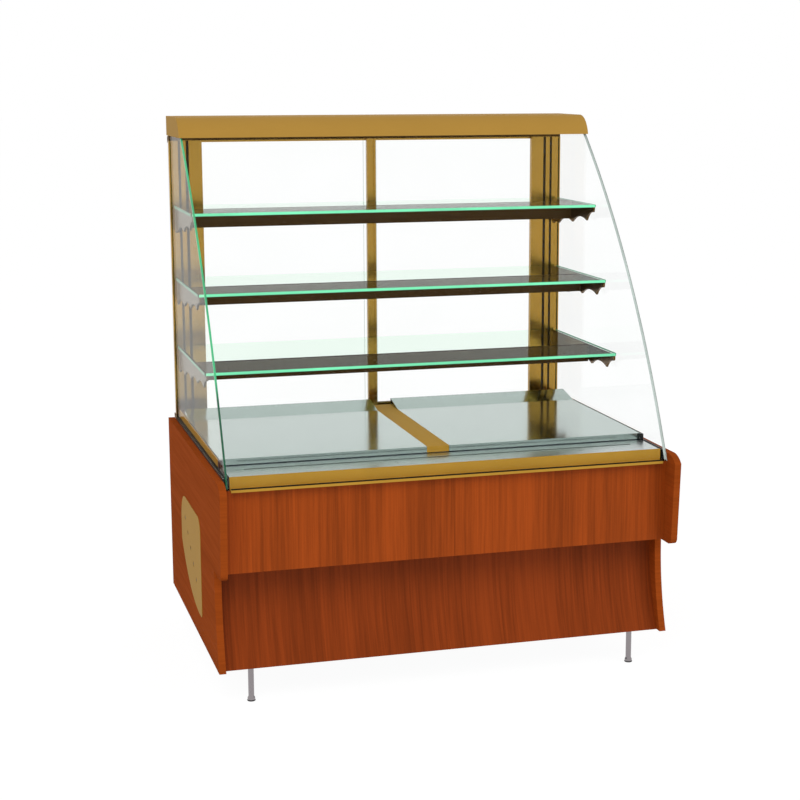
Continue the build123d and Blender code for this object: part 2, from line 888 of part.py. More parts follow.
with BuildPart() as door_right:
    door_pane((-door_overlap, door_edge), outer_lane, door_edge - pull_inset)
door_right.part.label = "door_right"
export_step(door_right.part, "parts/door_right.step")

with BuildPart() as door_ring_right:
    add(build_ring(outer_lane, door_edge - pull_inset))
door_ring_right.part.label = "door_ring_right"
export_step(door_ring_right.part, "parts/door_ring_right.step")

# Gold top cover with a rounded front, open underneath
cover_run = cover_depth - cover_flat
cover_radius = (cover_run**2 + cover_drop**2) / (2 * cover_drop)


def cover_front(height, inward=0.0):
    """Depth of the cover's rounded front at a height, or of its inner face."""
    radius = cover_radius - inward
    return cover_flat + math.sqrt(radius**2 - (height - cover_height + cover_radius) ** 2)


with BuildPart() as top_cover:
    with BuildSketch(Plane.YZ.offset(-inner_half)):
        with BuildLine():
            cover_mid = cover_height - cover_drop / 3
            Line(at(0, cover_lip), at(0, cover_height))
            Line(at(0, cover_height), at(cover_flat, cover_height))
            ThreePointArc(
                at(cover_flat, cover_height),
                at(cover_front(cover_mid), cover_mid),
                at(cover_front(cover_lip), cover_lip),
            )
            Line(at(cover_front(cover_lip), cover_lip), at(0, cover_lip))
        make_face()
    extrude(amount=2 * inner_half)
    cover_under = top_cover.faces().sort_by(Axis.Z)[0]
    offset(amount=-cover_sheet, openings=cover_under)
top_cover.part.label = "top_cover"
export_step(top_cover.part, "parts/top_cover.step")

# Rubber seal between the cover's lip and the glass
with BuildPart() as glass_seal_strip:
    seal_low = cover_lip + seal_inset
    seal_high = seal_low + seal_height
    seal_mid = (seal_low + seal_high) / 2
    with BuildSketch(Plane.YZ.offset(-side_glass_out)):
        with BuildLine():
            bow_arc(seal_low, seal_high)
            Line(at(bow_depth(seal_high), seal_high), at(cover_front(seal_high, cover_sheet), seal_high))
            ThreePointArc(
                at(cover_front(seal_high, cover_sheet), seal_high),
                at(cover_front(seal_mid, cover_sheet), seal_mid),
                at(cover_front(seal_low, cover_sheet), seal_low),
            )
            Line(at(cover_front(seal_low, cover_sheet), seal_low), at(bow_depth(seal_low), seal_low))
        make_face()
    extrude(amount=2 * side_glass_out)
glass_seal_strip.part.label = "glass_seal_strip"
export_step(glass_seal_strip.part, "parts/glass_seal_strip.step")

# Head channels for the side panes and the liner with the lamp's slot
head_channel_front = bow_depth(glass_head, front_glass) - channel_gap
cover_end = inner_half - cover_sheet
with BuildPart() as head_channels:
    block((deck_half, cover_end), (frame_front, head_channel_front), (cover_lip, glass_head))
    block(
        (side_glass_in - glass_seal, side_glass_out + glass_seal),
        (frame_front, head_channel_front),
        (cover_lip, side_glass_head),
        mode=Mode.SUBTRACT,
    )
    mirror(head_channels.part, about=Plane.YZ)
head_channels.part.label = "head_channels"
export_step(head_channels.part, "parts/head_channels.step")

with BuildPart() as cover_liner:
    block((-deck_half, deck_half), (frame_front, head_channel_front), (cover_lip, cover_lip + liner_sheet))
    block(
        (-lamp_half_length, lamp_half_length),
        (lamp_depth - lamp_slot / 2, lamp_depth + lamp_slot / 2),
        (cover_lip, cover_lip + liner_sheet),
        mode=Mode.SUBTRACT,
    )
cover_liner.part.label = "cover_liner"
export_step(cover_liner.part, "parts/cover_liner.step")

lamp_roof = cover_lip + liner_sheet + lamp_slot
with BuildPart() as lamp_housing:
    lamp_out = lamp_slot / 2 + lamp_sheet
    block(
        (-lamp_half_length, lamp_half_length),
        (lamp_depth - lamp_out, lamp_depth + lamp_out),
        (cover_lip + liner_sheet, lamp_roof + lamp_sheet),
    )
    block(
        (-lamp_half_length, lamp_half_length),
        (lamp_depth - lamp_slot / 2, lamp_depth + lamp_slot / 2),
        (cover_lip + liner_sheet, lamp_roof),
        mode=Mode.SUBTRACT,
    )
    for side in (-1, 1):
        lamp_end = sorted((side * lamp_half_length, side * (lamp_half_length - lamp_cap)))
        block(
            lamp_end,
            (lamp_depth - lamp_slot / 2, lamp_depth + lamp_slot / 2),
            (cover_lip + liner_sheet, lamp_roof),
        )
lamp_housing.part.label = "lamp_housing"
export_step(lamp_housing.part, "parts/lamp_housing.step")

with BuildPart() as lamp_tube:
    with Locations((0, ahead(lamp_depth), up(cover_lip + liner_sheet + lamp_slot / 2))):
        Cylinder(lamp_radius, 2 * (lamp_half_length - lamp_cap), rotation=(0, 90, 0))
lamp_tube.part.label = "lamp_tube"
export_step(lamp_tube.part, "parts/lamp_tube.step")


# Glass shelves with a folded beam and a scalloped bracket under each end
def build_shelf(level):
    """One glass shelf."""
    top = shelf_heights[level]
    with BuildPart() as shelf:
        block((-shelf_half, shelf_half), (shelf_rear, shelf_fronts[level]), (top - shelf_glass, top))
        rim = shelf.edges().filter_by(Axis.Z)
        fillet(rim, shelf_corner)
    return shelf.part


def build_shelf_beam(level):
    """Folded beam, open at the back, that runs between the brackets under a shelf."""
    under = shelf_heights[level] - shelf_glass
    front = shelf_fronts[level] - beam_setbacks[level]
    rear = front - shelf_beam_depth
    half = shelf_half - bracket_gap - bracket_plate
    with BuildPart() as beam:
        block((-half, half), (rear, front), (under - shelf_beam_height, under))
        block(
            (-half, half),
            (rear, front - shelf_beam_wall),
            (under - shelf_beam_height + shelf_beam_wall, under - shelf_beam_wall),
            mode=Mode.SUBTRACT,
        )
    return beam.part


def bracket_drop(level, setback):
    """Depth of the bracket's points under the glass, some way behind its nose."""
    length = shelf_fronts[level] - frame_front
    return bracket_front + (bracket_root - bracket_front) * setback / length


def build_bracket(level):
    """Right-hand bracket plate with a round nose and scallops that end in points."""
    under = shelf_heights[level] - shelf_glass
    front = shelf_fronts[level]
    length = front - frame_front
    tips = [lobe_first]
    while tips[-1] + lobe_pitch < length - lobe_pitch / 3:
        tips.append(tips[-1] + lobe_pitch)
    tips.append(length)
    with BuildPart() as bracket:
        with BuildSketch(Plane.YZ.offset(shelf_half - bracket_gap - bracket_plate)):
            with BuildLine():
                ThreePointArc(
                    at(front, under - bracket_nose),
                    at(front - lobe_first * 0.65, under - bracket_nose - lobe_rise / 2),
                    at(front - lobe_first, under - bracket_drop(level, lobe_first)),
                )
                for start, end in zip(tips[:-1], tips[1:]):
                    middle = (start + end) / 2
                    rise = lobe_rise * (end - start) / lobe_pitch
                    ThreePointArc(
                        at(front - start, under - bracket_drop(level, start)),
                        at(front - middle, under - bracket_drop(level, middle) + rise),
                        at(front - end, under - bracket_drop(level, end)),
                    )
                Line(at(frame_front, under - bracket_root), at(frame_front, under))
                Line(at(frame_front, under), at(front, under))
                Line(at(front, under), at(front, under - bracket_nose))
            make_face()
        extrude(amount=bracket_plate)
        nose = bracket.edges().filter_by(Axis.X).sort_by_distance(
            (shelf_half, ahead(front), up(under - bracket_nose))
        )[0]
        fillet(nose, bracket_nose / 2)
    return bracket.part


with BuildPart() as shelf_low:
    add(build_shelf(0))
shelf_low.part.label = "shelf_low"
export_step(shelf_low.part, "parts/shelf_low.step")

with BuildPart() as shelf_middle:
    add(build_shelf(1))
shelf_middle.part.label = "shelf_middle"
export_step(shelf_middle.part, "parts/shelf_middle.step")

with BuildPart() as shelf_high:
    add(build_shelf(2))
shelf_high.part.label = "shelf_high"
export_step(shelf_high.part, "parts/shelf_high.step")

with BuildPart() as shelf_beam_low:
    add(build_shelf_beam(0))
shelf_beam_low.part.label = "shelf_beam_low"
export_step(shelf_beam_low.part, "parts/shelf_beam_low.step")

with BuildPart() as shelf_beam_middle:
    add(build_shelf_beam(1))
shelf_beam_middle.part.label = "shelf_beam_middle"
export_step(shelf_beam_middle.part, "parts/shelf_beam_middle.step")

with BuildPart() as shelf_beam_high:
    add(build_shelf_beam(2))
shelf_beam_high.part.label = "shelf_beam_high"
export_step(shelf_beam_high.part, "parts/shelf_beam_high.step")

with BuildPart() as brackets_low:
    add(build_bracket(0))
    mirror(brackets_low.part, about=Plane.YZ)
brackets_low.part.label = "brackets_low"
export_step(brackets_low.part, "parts/brackets_low.step")

with BuildPart() as brackets_middle:
    add(build_bracket(1))
    mirror(brackets_middle.part, about=Plane.YZ)
brackets_middle.part.label = "brackets_middle"
export_step(brackets_middle.part, "parts/brackets_middle.step")

with BuildPart() as brackets_high:
    add(build_bracket(2))
    mirror(brackets_high.part, about=Plane.YZ)
brackets_high.part.label = "brackets_high"
export_step(brackets_high.part, "parts/brackets_high.step")

# Compressor on the floor pan: a foot plate and a can with a welded seam and a tapered top
with BuildPart() as compressor:
    can_base = (compressor_x, ahead(compressor_depth), up(floor_sheet))
    can_place = Plane(origin=can_base, x_dir=(1, 0, 0), z_dir=(0, -1, 0))
    seam_height = compressor_height * 0.55
    with Locations((compressor_x, ahead(compressor_depth), up(floor_sheet + compressor_foot / 2))):
        Box(2.4 * compressor_radius, 1.5 * compressor_radius, compressor_foot)
    with BuildSketch(can_place):
        with BuildLine():
            Polyline(
                (0, compressor_foot),
                (compressor_radius, compressor_foot),
                (compressor_radius, seam_height),
                (compressor_radius + compressor_seam, seam_height),
                (compressor_radius, seam_height + compressor_seam),
                (compressor_radius * 0.55, compressor_height),
                (0, compressor_height),
                close=True,
            )
        make_face()
    revolve(axis=Axis(can_base, (0, 0, 1)))
compressor.part.label = "compressor"
export_step(compressor.part, "parts/compressor.step")

# Condenser coil with flat tubes behind the louvres, its shroud, and the fan with its motor
condenser_front = condenser_rear + condenser_depth
condenser_low = floor_sheet
condenser_mid = (condenser_rear + condenser_front) / 2
condenser_side = (fan_x - condenser_width / 2, fan_x + condenser_width / 2)
with BuildPart() as condenser:
    for height in (condenser_low, condenser_low + condenser_height - fin_sheet):
        block(condenser_side, (condenser_rear, condenser_front), (height, height + fin_sheet))
    with Locations((fan_x, ahead(condenser_mid), up(condenser_low + condenser_height / 2))):
        with GridLocations((condenser_width - fin_sheet) / (condenser_fins - 1), 0, condenser_fins, 1):
            Box(fin_sheet, condenser_depth, condenser_height)
    for row in range(coil_rows):
        row_height = condenser_low + condenser_height * (row + 0.5) / coil_rows
        block(
            condenser_side,
            (condenser_mid - coil_flat / 2, condenser_mid + coil_flat / 2),
            (row_height - fin_sheet / 2, row_height + fin_sheet / 2),
        )
condenser.part.label = "condenser"
export_step(condenser.part, "parts/condenser.step")

shroud_front = condenser_front + shroud_depth
with BuildPart() as fan_shroud:
    block(condenser_side, (condenser_front, shroud_front), (condenser_low, condenser_low + condenser_height))
    shroud_mouth = fan_shroud.faces().sort_by(Axis.Y)[-1]
    offset(amount=-shroud_sheet, openings=shroud_mouth)
    with Locations((fan_x, ahead(shroud_front), up(fan_height))):
        Cylinder(fan_radius + fan_clearance, 4 * shroud_sheet, rotation=(90, 0, 0), mode=Mode.SUBTRACT)
fan_shroud.part.label = "fan_shroud"
export_step(fan_shroud.part, "parts/fan_shroud.step")

motor_rear = shroud_front + motor_gap
with BuildPart() as fan_motor:
    with BuildSketch(Plane.XZ.offset(-ahead(motor_rear))):
        with Locations((fan_x, up(fan_height))):
            Circle(motor_radius)
            Circle(shaft_radius + shaft_play, mode=Mode.SUBTRACT)
    extrude(amount=motor_length)
    block(
        (fan_x - motor_radius / 2, fan_x + motor_radius / 2),
        (motor_rear + motor_length - motor_foot, motor_rear + motor_length),
        (floor_sheet, fan_height - motor_radius + motor_base),
    )
    block(
        (fan_x - 2 * motor_radius, fan_x + 2 * motor_radius),
        (motor_rear, motor_rear + motor_length),
        (floor_sheet, floor_sheet + motor_base),
    )
fan_motor.part.label = "fan_motor"
export_step(fan_motor.part, "parts/fan_motor.step")

blade_rear = shroud_front - shroud_sheet - hub_gap
blade_root_radius = motor_radius - blade_sheet
with BuildPart() as fan_rotor:
    hub_place = Plane(origin=(fan_x, ahead(blade_rear), up(fan_height)), x_dir=(1, 0, 0), z_dir=(0, -1, 0))
    with BuildSketch(hub_place):
        RegularPolygon(motor_radius, 2 * fan_blades)
    extrude(amount=hub_length)
    with BuildSketch(hub_place):
        Circle(shaft_radius)
    extrude(amount=motor_rear + motor_length / 2 - blade_rear)
    for blade in range(fan_blades):
        turn = math.radians(360 / fan_blades * blade)
        root = Plane(
            origin=(
                fan_x + math.cos(turn) * blade_root_radius,
                ahead(blade_rear + hub_length / 2),
                up(fan_height) + math.sin(turn) * blade_root_radius,
            ),
            x_dir=(-math.sin(turn) * 0.87, -0.5, math.cos(turn) * 0.87),
            z_dir=(math.cos(turn), 0, math.sin(turn)),
        )
        with BuildSketch(root):
            Rectangle(blade_root, blade_sheet)
        with BuildSketch(root.offset(fan_radius - motor_radius)):
            Rectangle(blade_tip, blade_sheet)
        loft(ruled=True)
fan_rotor.part.label = "fan_rotor"
export_step(fan_rotor.part, "parts/fan_rotor.step")

# Control box set into the rear panel, with a power rocker and a thermostat knob
control_side = (control_x - control_width / 2, control_x + control_width / 2)
switch_x = control_x - control_width / 4
knob_x = control_x + control_width / 4
control_mid = control_low + control_high / 2
control_face = rear_skin_inset + knob_length
rocker_pivot = control_face + rocker_face
with BuildPart() as control_box:
    block(
        (control_side[0] - control_sheet, control_side[1] + control_sheet),
        (floor_rear, control_depth),
        (control_low - control_sheet, control_low + control_high + control_sheet),
    )
    block(
        (control_side[0] - control_wing, control_side[1] + control_wing),
        (floor_rear, floor_rear + control_sheet),
        (control_low - control_sheet, control_low + control_high + control_sheet),
    )
    block(
        control_side,
        (floor_rear, control_face),
        (control_low, control_low + control_high),
        mode=Mode.SUBTRACT,
    )
    block(
        (switch_x - rocker_width / 2 - rocker_gap, switch_x + rocker_width / 2 + rocker_gap),
        (control_face, rocker_pivot + rocker_high / 2 + rocker_gap),
        (control_mid - rocker_high / 2 - rocker_gap, control_mid + rocker_high / 2 + rocker_gap),
        mode=Mode.SUBTRACT,
    )
    with Locations((knob_x, ahead(control_face), up(control_mid))):
        Cylinder(shaft_radius + shaft_play, 4 * knob_length, rotation=(90, 0, 0), mode=Mode.SUBTRACT)
control_box.part.label = "control_box"
export_step(control_box.part, "parts/control_box.step")

knob_front = control_face - knob_gap
with BuildPart() as thermostat_knob:
    knob_place = Plane(origin=(knob_x, ahead(knob_front), up(control_mid)), x_dir=(1, 0, 0), z_dir=(0, 1, 0))
    with BuildSketch(knob_place):
        Circle(knob_radius)
    extrude(amount=knob_disc)
    with BuildSketch(knob_place):
        Rectangle(knob_grip, 2 * knob_radius - knob_grip)
    extrude(amount=knob_length - 2 * rear_skin)
    with BuildSketch(knob_place):
        Circle(shaft_radius)
    extrude(amount=-1.5 * knob_length)
thermostat_knob.part.label = "thermostat_knob"
export_step(thermostat_knob.part, "parts/thermostat_knob.step")

with BuildPart() as power_rocker:
    with BuildSketch(Plane.YZ.offset(switch_x - rocker_width / 2)):
        with Locations(at(rocker_pivot, control_mid)):
            Circle(rocker_high / 2)
        with Locations(Location((*at(rocker_pivot, control_mid), 0), (0, 0, -rocker_tilt))):
            with Locations((rocker_face + rocker_high, 0), (-rocker_face - rocker_high, 0)):
                Rectangle(2 * rocker_high, 3 * rocker_high, mode=Mode.SUBTRACT)
    extrude(amount=rocker_width)
power_rocker.part.label = "power_rocker"
export_step(power_rocker.part, "parts/power_rocker.step")

# Gold plate with rounded corners and a slanting row of diamond holes, on the outside of each side panel
with BuildPart() as side_plates:
    plate_front = plate_rear + plate_length
    plate_bulge = at(plate_rear + plate_length * 0.3, (plate_low + plate_waist) / 2 - plate_tip_round)
    with BuildSketch(Plane.YZ.offset(case_width / 2)) as plate_sketch:
        with BuildLine():
            Line(at(plate_front, plate_low), at(plate_front, plate_high))
            Line(at(plate_front, plate_high), at(plate_rear, plate_high))
            Line(at(plate_rear, plate_high), at(plate_rear, plate_waist))
            ThreePointArc(at(plate_rear, plate_waist), plate_bulge, at(plate_front, plate_low))
        make_face()
        for corner, rounding in (
            (at(plate_rear, plate_high), plate_rear_round),
            (at(plate_front, plate_high), plate_front_round),
            (at(plate_front, plate_low), plate_tip_round),
        ):
            fillet(plate_sketch.vertices().sort_by_distance((*corner, 0))[0], rounding)
        for dot in range(plate_dots):
            along = (dot + 1) / (plate_dots + 1)
            dot_depth = plate_rear + plate_length * (0.08 + 0.8 * along)
            dot_height = plate_high - (plate_high - plate_low) * (0.1 + 0.72 * along)
            with Locations(at(dot_depth, dot_height)):
                RegularPolygon(plate_dot, 4, mode=Mode.SUBTRACT)
    extrude(amount=plate_sheet)
    mirror(side_plates.part, about=Plane.YZ)
side_plates.part.label = "side_plates"
export_step(side_plates.part, "parts/side_plates.step")
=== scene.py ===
import logging
import math
from dataclasses import dataclass
from enum import Enum
from typing import Iterable, Optional, Union

import bmesh
import bpy
from mathutils import Matrix, Vector


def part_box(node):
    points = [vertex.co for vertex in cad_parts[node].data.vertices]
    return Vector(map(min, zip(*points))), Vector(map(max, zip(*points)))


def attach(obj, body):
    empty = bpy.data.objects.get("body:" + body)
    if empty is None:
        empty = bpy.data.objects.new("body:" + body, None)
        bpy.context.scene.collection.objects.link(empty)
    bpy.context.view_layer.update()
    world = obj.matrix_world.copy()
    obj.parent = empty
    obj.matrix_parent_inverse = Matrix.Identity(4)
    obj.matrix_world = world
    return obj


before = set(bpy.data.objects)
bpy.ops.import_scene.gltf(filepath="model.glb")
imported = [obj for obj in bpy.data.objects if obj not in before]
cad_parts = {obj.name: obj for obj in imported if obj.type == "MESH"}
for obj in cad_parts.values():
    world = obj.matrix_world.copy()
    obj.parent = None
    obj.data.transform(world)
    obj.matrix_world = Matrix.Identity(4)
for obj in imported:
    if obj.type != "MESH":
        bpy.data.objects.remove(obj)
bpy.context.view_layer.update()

LOG = logging.getLogger("pastry_case")

MM = 0.001
BACK = 0.4825
LEG_HEIGHT = 0.1
FULL_TURN = 2 * math.pi
WELD = 1e-6
EVEN = (1.0, 1.0, 1.0)
NOISE_SPAN = (0.3, 0.7)
FIXING_SEED = 11
Colour = tuple[float, float, float]
Point = tuple[float, float, float]
Span = tuple[float, float]
Node = bpy.types.Node
Socket = bpy.types.NodeSocket
Thing = bpy.types.Object


class Axis(Enum):
    """Direction in which a grain or brushing runs."""

    ACROSS = 0
    DEPTH = 1
    UP = 2


class Side(Enum):
    """Way in which a face looks: the axis and the sign along it."""

    LEFT = (0, -1.0)
    RIGHT = (0, 1.0)
    FRONT = (1, -1.0)
    REAR = (1, 1.0)


class Body(Enum):
    """Rigid bodies of the case that carry pieces of this script."""

    CASE = "case"
    DOOR_LEFT = "door_left"
    DOOR_RIGHT = "door_right"
    KNOB = "knob"


def tone(red: int, green: int, blue: int) -> Colour:
    """Linear colour of a display colour whose red, green and blue run from 0 to 255."""
    shares = (channel / 255 for channel in (red, green, blue))
    return tuple(s / 12.92 if s <= 0.04045 else ((s + 0.055) / 1.055) ** 2.4 for s in shares)


def spot(across: float, depth: float, height: float) -> Vector:
    """Point in metres from millimetres right of the middle, ahead of the back and above the base's foot."""
    return Vector((across * MM, BACK - depth * MM, LEG_HEIGHT + height * MM))


def shade(colour: Colour, amount: float) -> Colour:
    """A colour made lighter or darker by a factor."""
    return tuple(min(1.0, channel * amount) for channel in colour)


def harvest(host: Thing) -> bpy.types.Mesh:
    """Plain mesh of what an object's curve or modifiers make. The object is removed.

    Args:
        host: The object, not yet in the scene.

    Returns:
        The mesh.
    """
    bpy.context.scene.collection.objects.link(host)
    host.update_tag()
    depsgraph = bpy.context.evaluated_depsgraph_get()
    mesh = bpy.data.meshes.new_from_object(host.evaluated_get(depsgraph), depsgraph=depsgraph)
    host.modifiers.clear()
    bpy.data.objects.remove(host)
    return mesh


class Wiring:
    """Adds nodes to one tree and wires them."""

    def __init__(self, tree: bpy.types.NodeTree) -> None:
        """Work in this tree."""
        self.tree = tree

    def put(self, node: Node, values: dict[Union[str, int], object]) -> Node:
        """Fill inputs of a node: a socket is wired to the input, anything else becomes its value.

        Args:
            node: The node.
            values: What goes into each input, by the input's name or place.

        Returns:
            The node.
        """
        for key, value in values.items():
            if isinstance(value, Socket):
                self.tree.links.new(value, node.inputs[key])
            else:
                node.inputs[key].default_value = value
        return node

    def add(self, kind: str, values: Optional[dict] = None, **settings: object) -> Node:
        """Add a node.

        Args:
            kind: Blender's name for the node type.
            values: What goes into its inputs.
            **settings: Its properties.

        Returns:
            The new node.
        """
        node = self.tree.nodes.new(kind)
        for key, value in settings.items():
            setattr(node, key, value)
        return self.put(node, values or {})


class Nodes(Wiring):
    """Shader nodes of one material or world."""

    def __init__(self, holder: bpy.types.ID, output: str = "ShaderNodeOutputMaterial") -> None:
        """Empty the tree and give it an output.

        Args:
            holder: The material or world that owns the tree.
            output: Blender's name for the output's node type.
        """
        holder.use_nodes = True
        super().__init__(holder.node_tree)
        self.holder = holder
        self.tree.nodes.clear()
        self.output = self.add(output)

    def show(self, shader: Node) -> Node:
        """Wire a shader to the output."""
        self.put(self.output, {"Surface": shader.outputs[0]})
        return shader

    def principled(self, colour: Colour, values: dict[str, float]) -> Node:
        """Show a main shader of this colour, with these constants in its other inputs."""
        return self.show(self.add("ShaderNodeBsdfPrincipled", {"Base Color": (*colour, 1.0), **values}))

    def place(self, scale: Point) -> Socket:
        """Object coordinates, stretched along the axes.

        Args:
            scale: Stretch along each axis.

        Returns:
            The coordinate socket.
        """
        coordinates = self.add("ShaderNodeTexCoord")
        values = {"Scale": scale, "Vector": coordinates.outputs["Object"]}
        return self.add("ShaderNodeMapping", values).outputs["Vector"]

    def noise(self, scale: Point, size: float, detail: float = 3.0, warp: float = 0.0) -> Socket:
        """Noise of a size per metre over object coordinates that are stretched along each axis."""
        values = {"Scale": size, "Detail": detail, "Distortion": warp, "Vector": self.place(scale)}
        return self.add("ShaderNodeTexNoise", values).outputs[0]

    def ramp(self, value: Socket, stops: Iterable[tuple[float, Colour]]) -> Socket:
        """Colour ramp over a value.

        Args:
            value: What drives the ramp.
            stops: Positions with their colours, in rising order.

        Returns:
            The colour socket.
        """
        node = self.add("ShaderNodeValToRGB", {"Fac": value})
        elements, places = node.color_ramp.elements, list(stops)
        while len(elements) < len(places):
            elements.new(0.5)
        for element, (position, colour) in zip(elements, places):
            element.position = position
            element.color = (*colour, 1.0)
        return node.outputs["Color"]

    def tint(self, value: Socket, colour: Colour, factors: Span, span: Span = NOISE_SPAN) -> Socket:
        """Colour whose shade runs between two factors while a value runs over the span."""
        return self.ramp(value, ((place, shade(colour, factor)) for place, factor in zip(span, factors)))

    def remap(self, value: Socket, low: float, high: float, first: float = 0.0, last: float = 1.0) -> Socket:
        """A value from low to high, mapped onto first to last and clamped."""
        values = {"From Min": low, "From Max": high, "To Min": first, "To Max": last, "Value": value}
        return self.add("ShaderNodeMapRange", values).outputs["Result"]

    def mix(self, share: Socket, first: Socket, second: Socket) -> Socket:
        """The first colour, with the second over it by a share."""
        values = {0: share, 6: first, 7: second}
        return self.add("ShaderNodeMix", values, data_type="RGBA", blend_type="MIX").outputs[2]

    def solid(self, colour: Colour) -> Socket:
        """A plain colour as a socket.

        Args:
            colour: The colour.

        Returns:
            The socket.
        """
        node = self.add("ShaderNodeRGB")
        node.outputs[0].default_value = (*colour, 1.0)
        return node.outputs[0]

    def math(self, kind: str, first: Socket, second: Union[Socket, float]) -> Socket:
        """Arithmetic on two values, of which the second may be a number."""
        return self.add("ShaderNodeMath", {0: first, 1: second}, operation=kind).outputs[0]

    def facing(self, side: Side, limit: float) -> Socket:
        """1 on faces that look one way and 0 on the rest, also when a face is seen from its back.

        Args:
            side: The way.
            limit: Least share of the normal along it.

        Returns:
            The mask.
        """
        geometry = self.add("ShaderNodeNewGeometry")
        split = self.add("ShaderNodeSeparateXYZ", {0: geometry.outputs["True Normal"]})
        axis, sign = side.value
        along = self.math("MULTIPLY", split.outputs[axis], sign)
        outward = self.remap(geometry.outputs["Backfacing"], 0.0, 1.0, 1.0, -1.0)
        return self.math("GREATER_THAN", self.math("MULTIPLY", along, outward), limit)

    def height(self) -> Socket:
        """Height of a point above the ground, in metres."""
        return self.add("ShaderNodeSeparateXYZ", {0: self.place(EVEN)}).outputs[2]

    def weigh(self, parts: Iterable[tuple[Socket, float]]) -> Socket:
        """Sum of values, each times its weight.

        Args:
            parts: The values with their weights.

        Returns:
            The sum.
        """
        total = None
        for value, weight in parts:
            scaled = self.math("MULTIPLY", value, weight)
            total = scaled if total is None else self.math("ADD", total, scaled)
        return total

    def bump(self, height: Socket, depth_mm: float) -> Socket:
        """Normal of a surface that a height map raises by up to this many millimetres."""
        values = {"Distance": depth_mm * MM, "Strength": 1.0, "Height": height}
        return self.add("ShaderNodeBump", values).outputs[0]

    def rays(self, first: str, *others: str) -> Socket:
        """1 for light rays of any of some kinds.

        Args:
            first: One kind, such as Camera.
            *others: The other kinds.

        Returns:
            The mask.
        """
        path = self.add("ShaderNodeLightPath").outputs
        found = path[f"Is {first} Ray"]
        for kind in others:
            found = self.math("MAXIMUM", found, path[f"Is {kind} Ray"])
        return found

    def blend(self, share: Socket, first: Node, second: Node) -> Node:
        """Mix two shaders; the share is how much of the second shows."""
        return self.add("ShaderNodeMixShader", {0: share, 1: first.outputs[0], 2: second.outputs[0]})


@dataclass(frozen=True)
class Finish:
    """A finish that one of the case's surfaces has."""

    name: str
    colour: Colour
    roughness: float = 0.5

    def build(self) -> bpy.types.Material:
        """Make the material."""
        raise NotImplementedError

    def nodes(self) -> Nodes:
        """Nodes of a new material with the finish's name."""
        return Nodes(bpy.data.materials.new(self.name))


@dataclass(frozen=True)
class WoodVeneer(Finish):
    """Matt reddish veneer with broad bands, fine stripes and pores along its grain."""

    contrast: float = 0.25
    across: Axis = Axis.ACROSS
    band_mm: float = 62.0
    stripe_mm: float = 6.5
    pore_mm: float = 2.6
    pore_depth_mm: float = 0.04
    stretches: Point = (0.05, 0.025, 0.02)
    weights: Point = (0.4, 0.42, 0.18)
    figure_stops: Point = (0.22, 0.5, 0.8)
    gloss: float = 0.12

    def layer(self, nodes: Nodes, along: float, width_mm: float, detail: float, warp: float) -> Socket:
        """Streaks of one width with the grain; along is the scale with it against 1 across it."""
        stretch = tuple(1.0 if axis is self.across else along for axis in Axis)
        return nodes.noise(stretch, 1000 / width_mm, detail, warp)

    def build(self) -> bpy.types.Material:
        """Make the veneer."""
        nodes = self.nodes()
        constants = {"Roughness": self.roughness, "Specular IOR Level": self.gloss}
        shader = nodes.principled(self.colour, constants)
        broad, fine, finest = self.stretches
        bands = self.layer(nodes, broad, self.band_mm, 2.0, 0.5)
        stripes = self.layer(nodes, fine, self.stripe_mm, 3.0, 0.3)
        pores = self.layer(nodes, finest, self.pore_mm, 2.0, 0.0)
        layers = zip((bands, stripes, pores), self.weights)
        total = nodes.weigh((nodes.remap(streaks, *NOISE_SPAN), weight) for streaks, weight in layers)
        shades = [shade(self.colour, 1 + self.contrast * step) for step in (-1, 0, 1)]
        nodes.put(shader, {
            "Base Color": nodes.ramp(total, zip(self.figure_stops, shades)),
            "Roughness": nodes.remap(total, 0.2, 0.8, self.roughness + 0.07, self.roughness - 0.05),
            "Normal": nodes.bump(pores, self.pore_depth_mm),
        })
        return nodes.holder


@dataclass(frozen=True)
class Metal(Finish):
    """Sheet or profile metal with fine brushing along one axis."""

    brush: Axis = Axis.ACROSS
    metallic: float = 1.0
    streaks: float = 0.05
    clouds: float = 0.04
    gloss: float = 0.5
    brush_scale: float = 1400.0
    brush_stretch: float = 0.012
    least_roughness: float = 0.03
    brush_depth_mm: float = 0.004
    cloud_scale: float = 7.0

    def build(self) -> bpy.types.Material:
        """Make the metal."""
        nodes = self.nodes()
        constants = {"Roughness": self.roughness, "Metallic": self.metallic, "Specular IOR Level": self.gloss}
        shader = nodes.principled(self.colour, constants)
        stretch = tuple(self.brush_stretch if axis is self.brush else 1.0 for axis in Axis)
        lines = nodes.noise(stretch, self.brush_scale, 2.0)
        cloud = nodes.noise(EVEN, self.cloud_scale)
        low, high = self.roughness - self.streaks, self.roughness + self.streaks
        nodes.put(shader, {
            "Base Color": nodes.tint(cloud, self.colour, (1 - self.clouds, 1 + self.clouds)),
            "Roughness": nodes.remap(lines, *NOISE_SPAN, max(self.least_roughness, low), high),
            "Normal": nodes.bump(lines, self.brush_depth_mm),
        })
        return nodes.holder


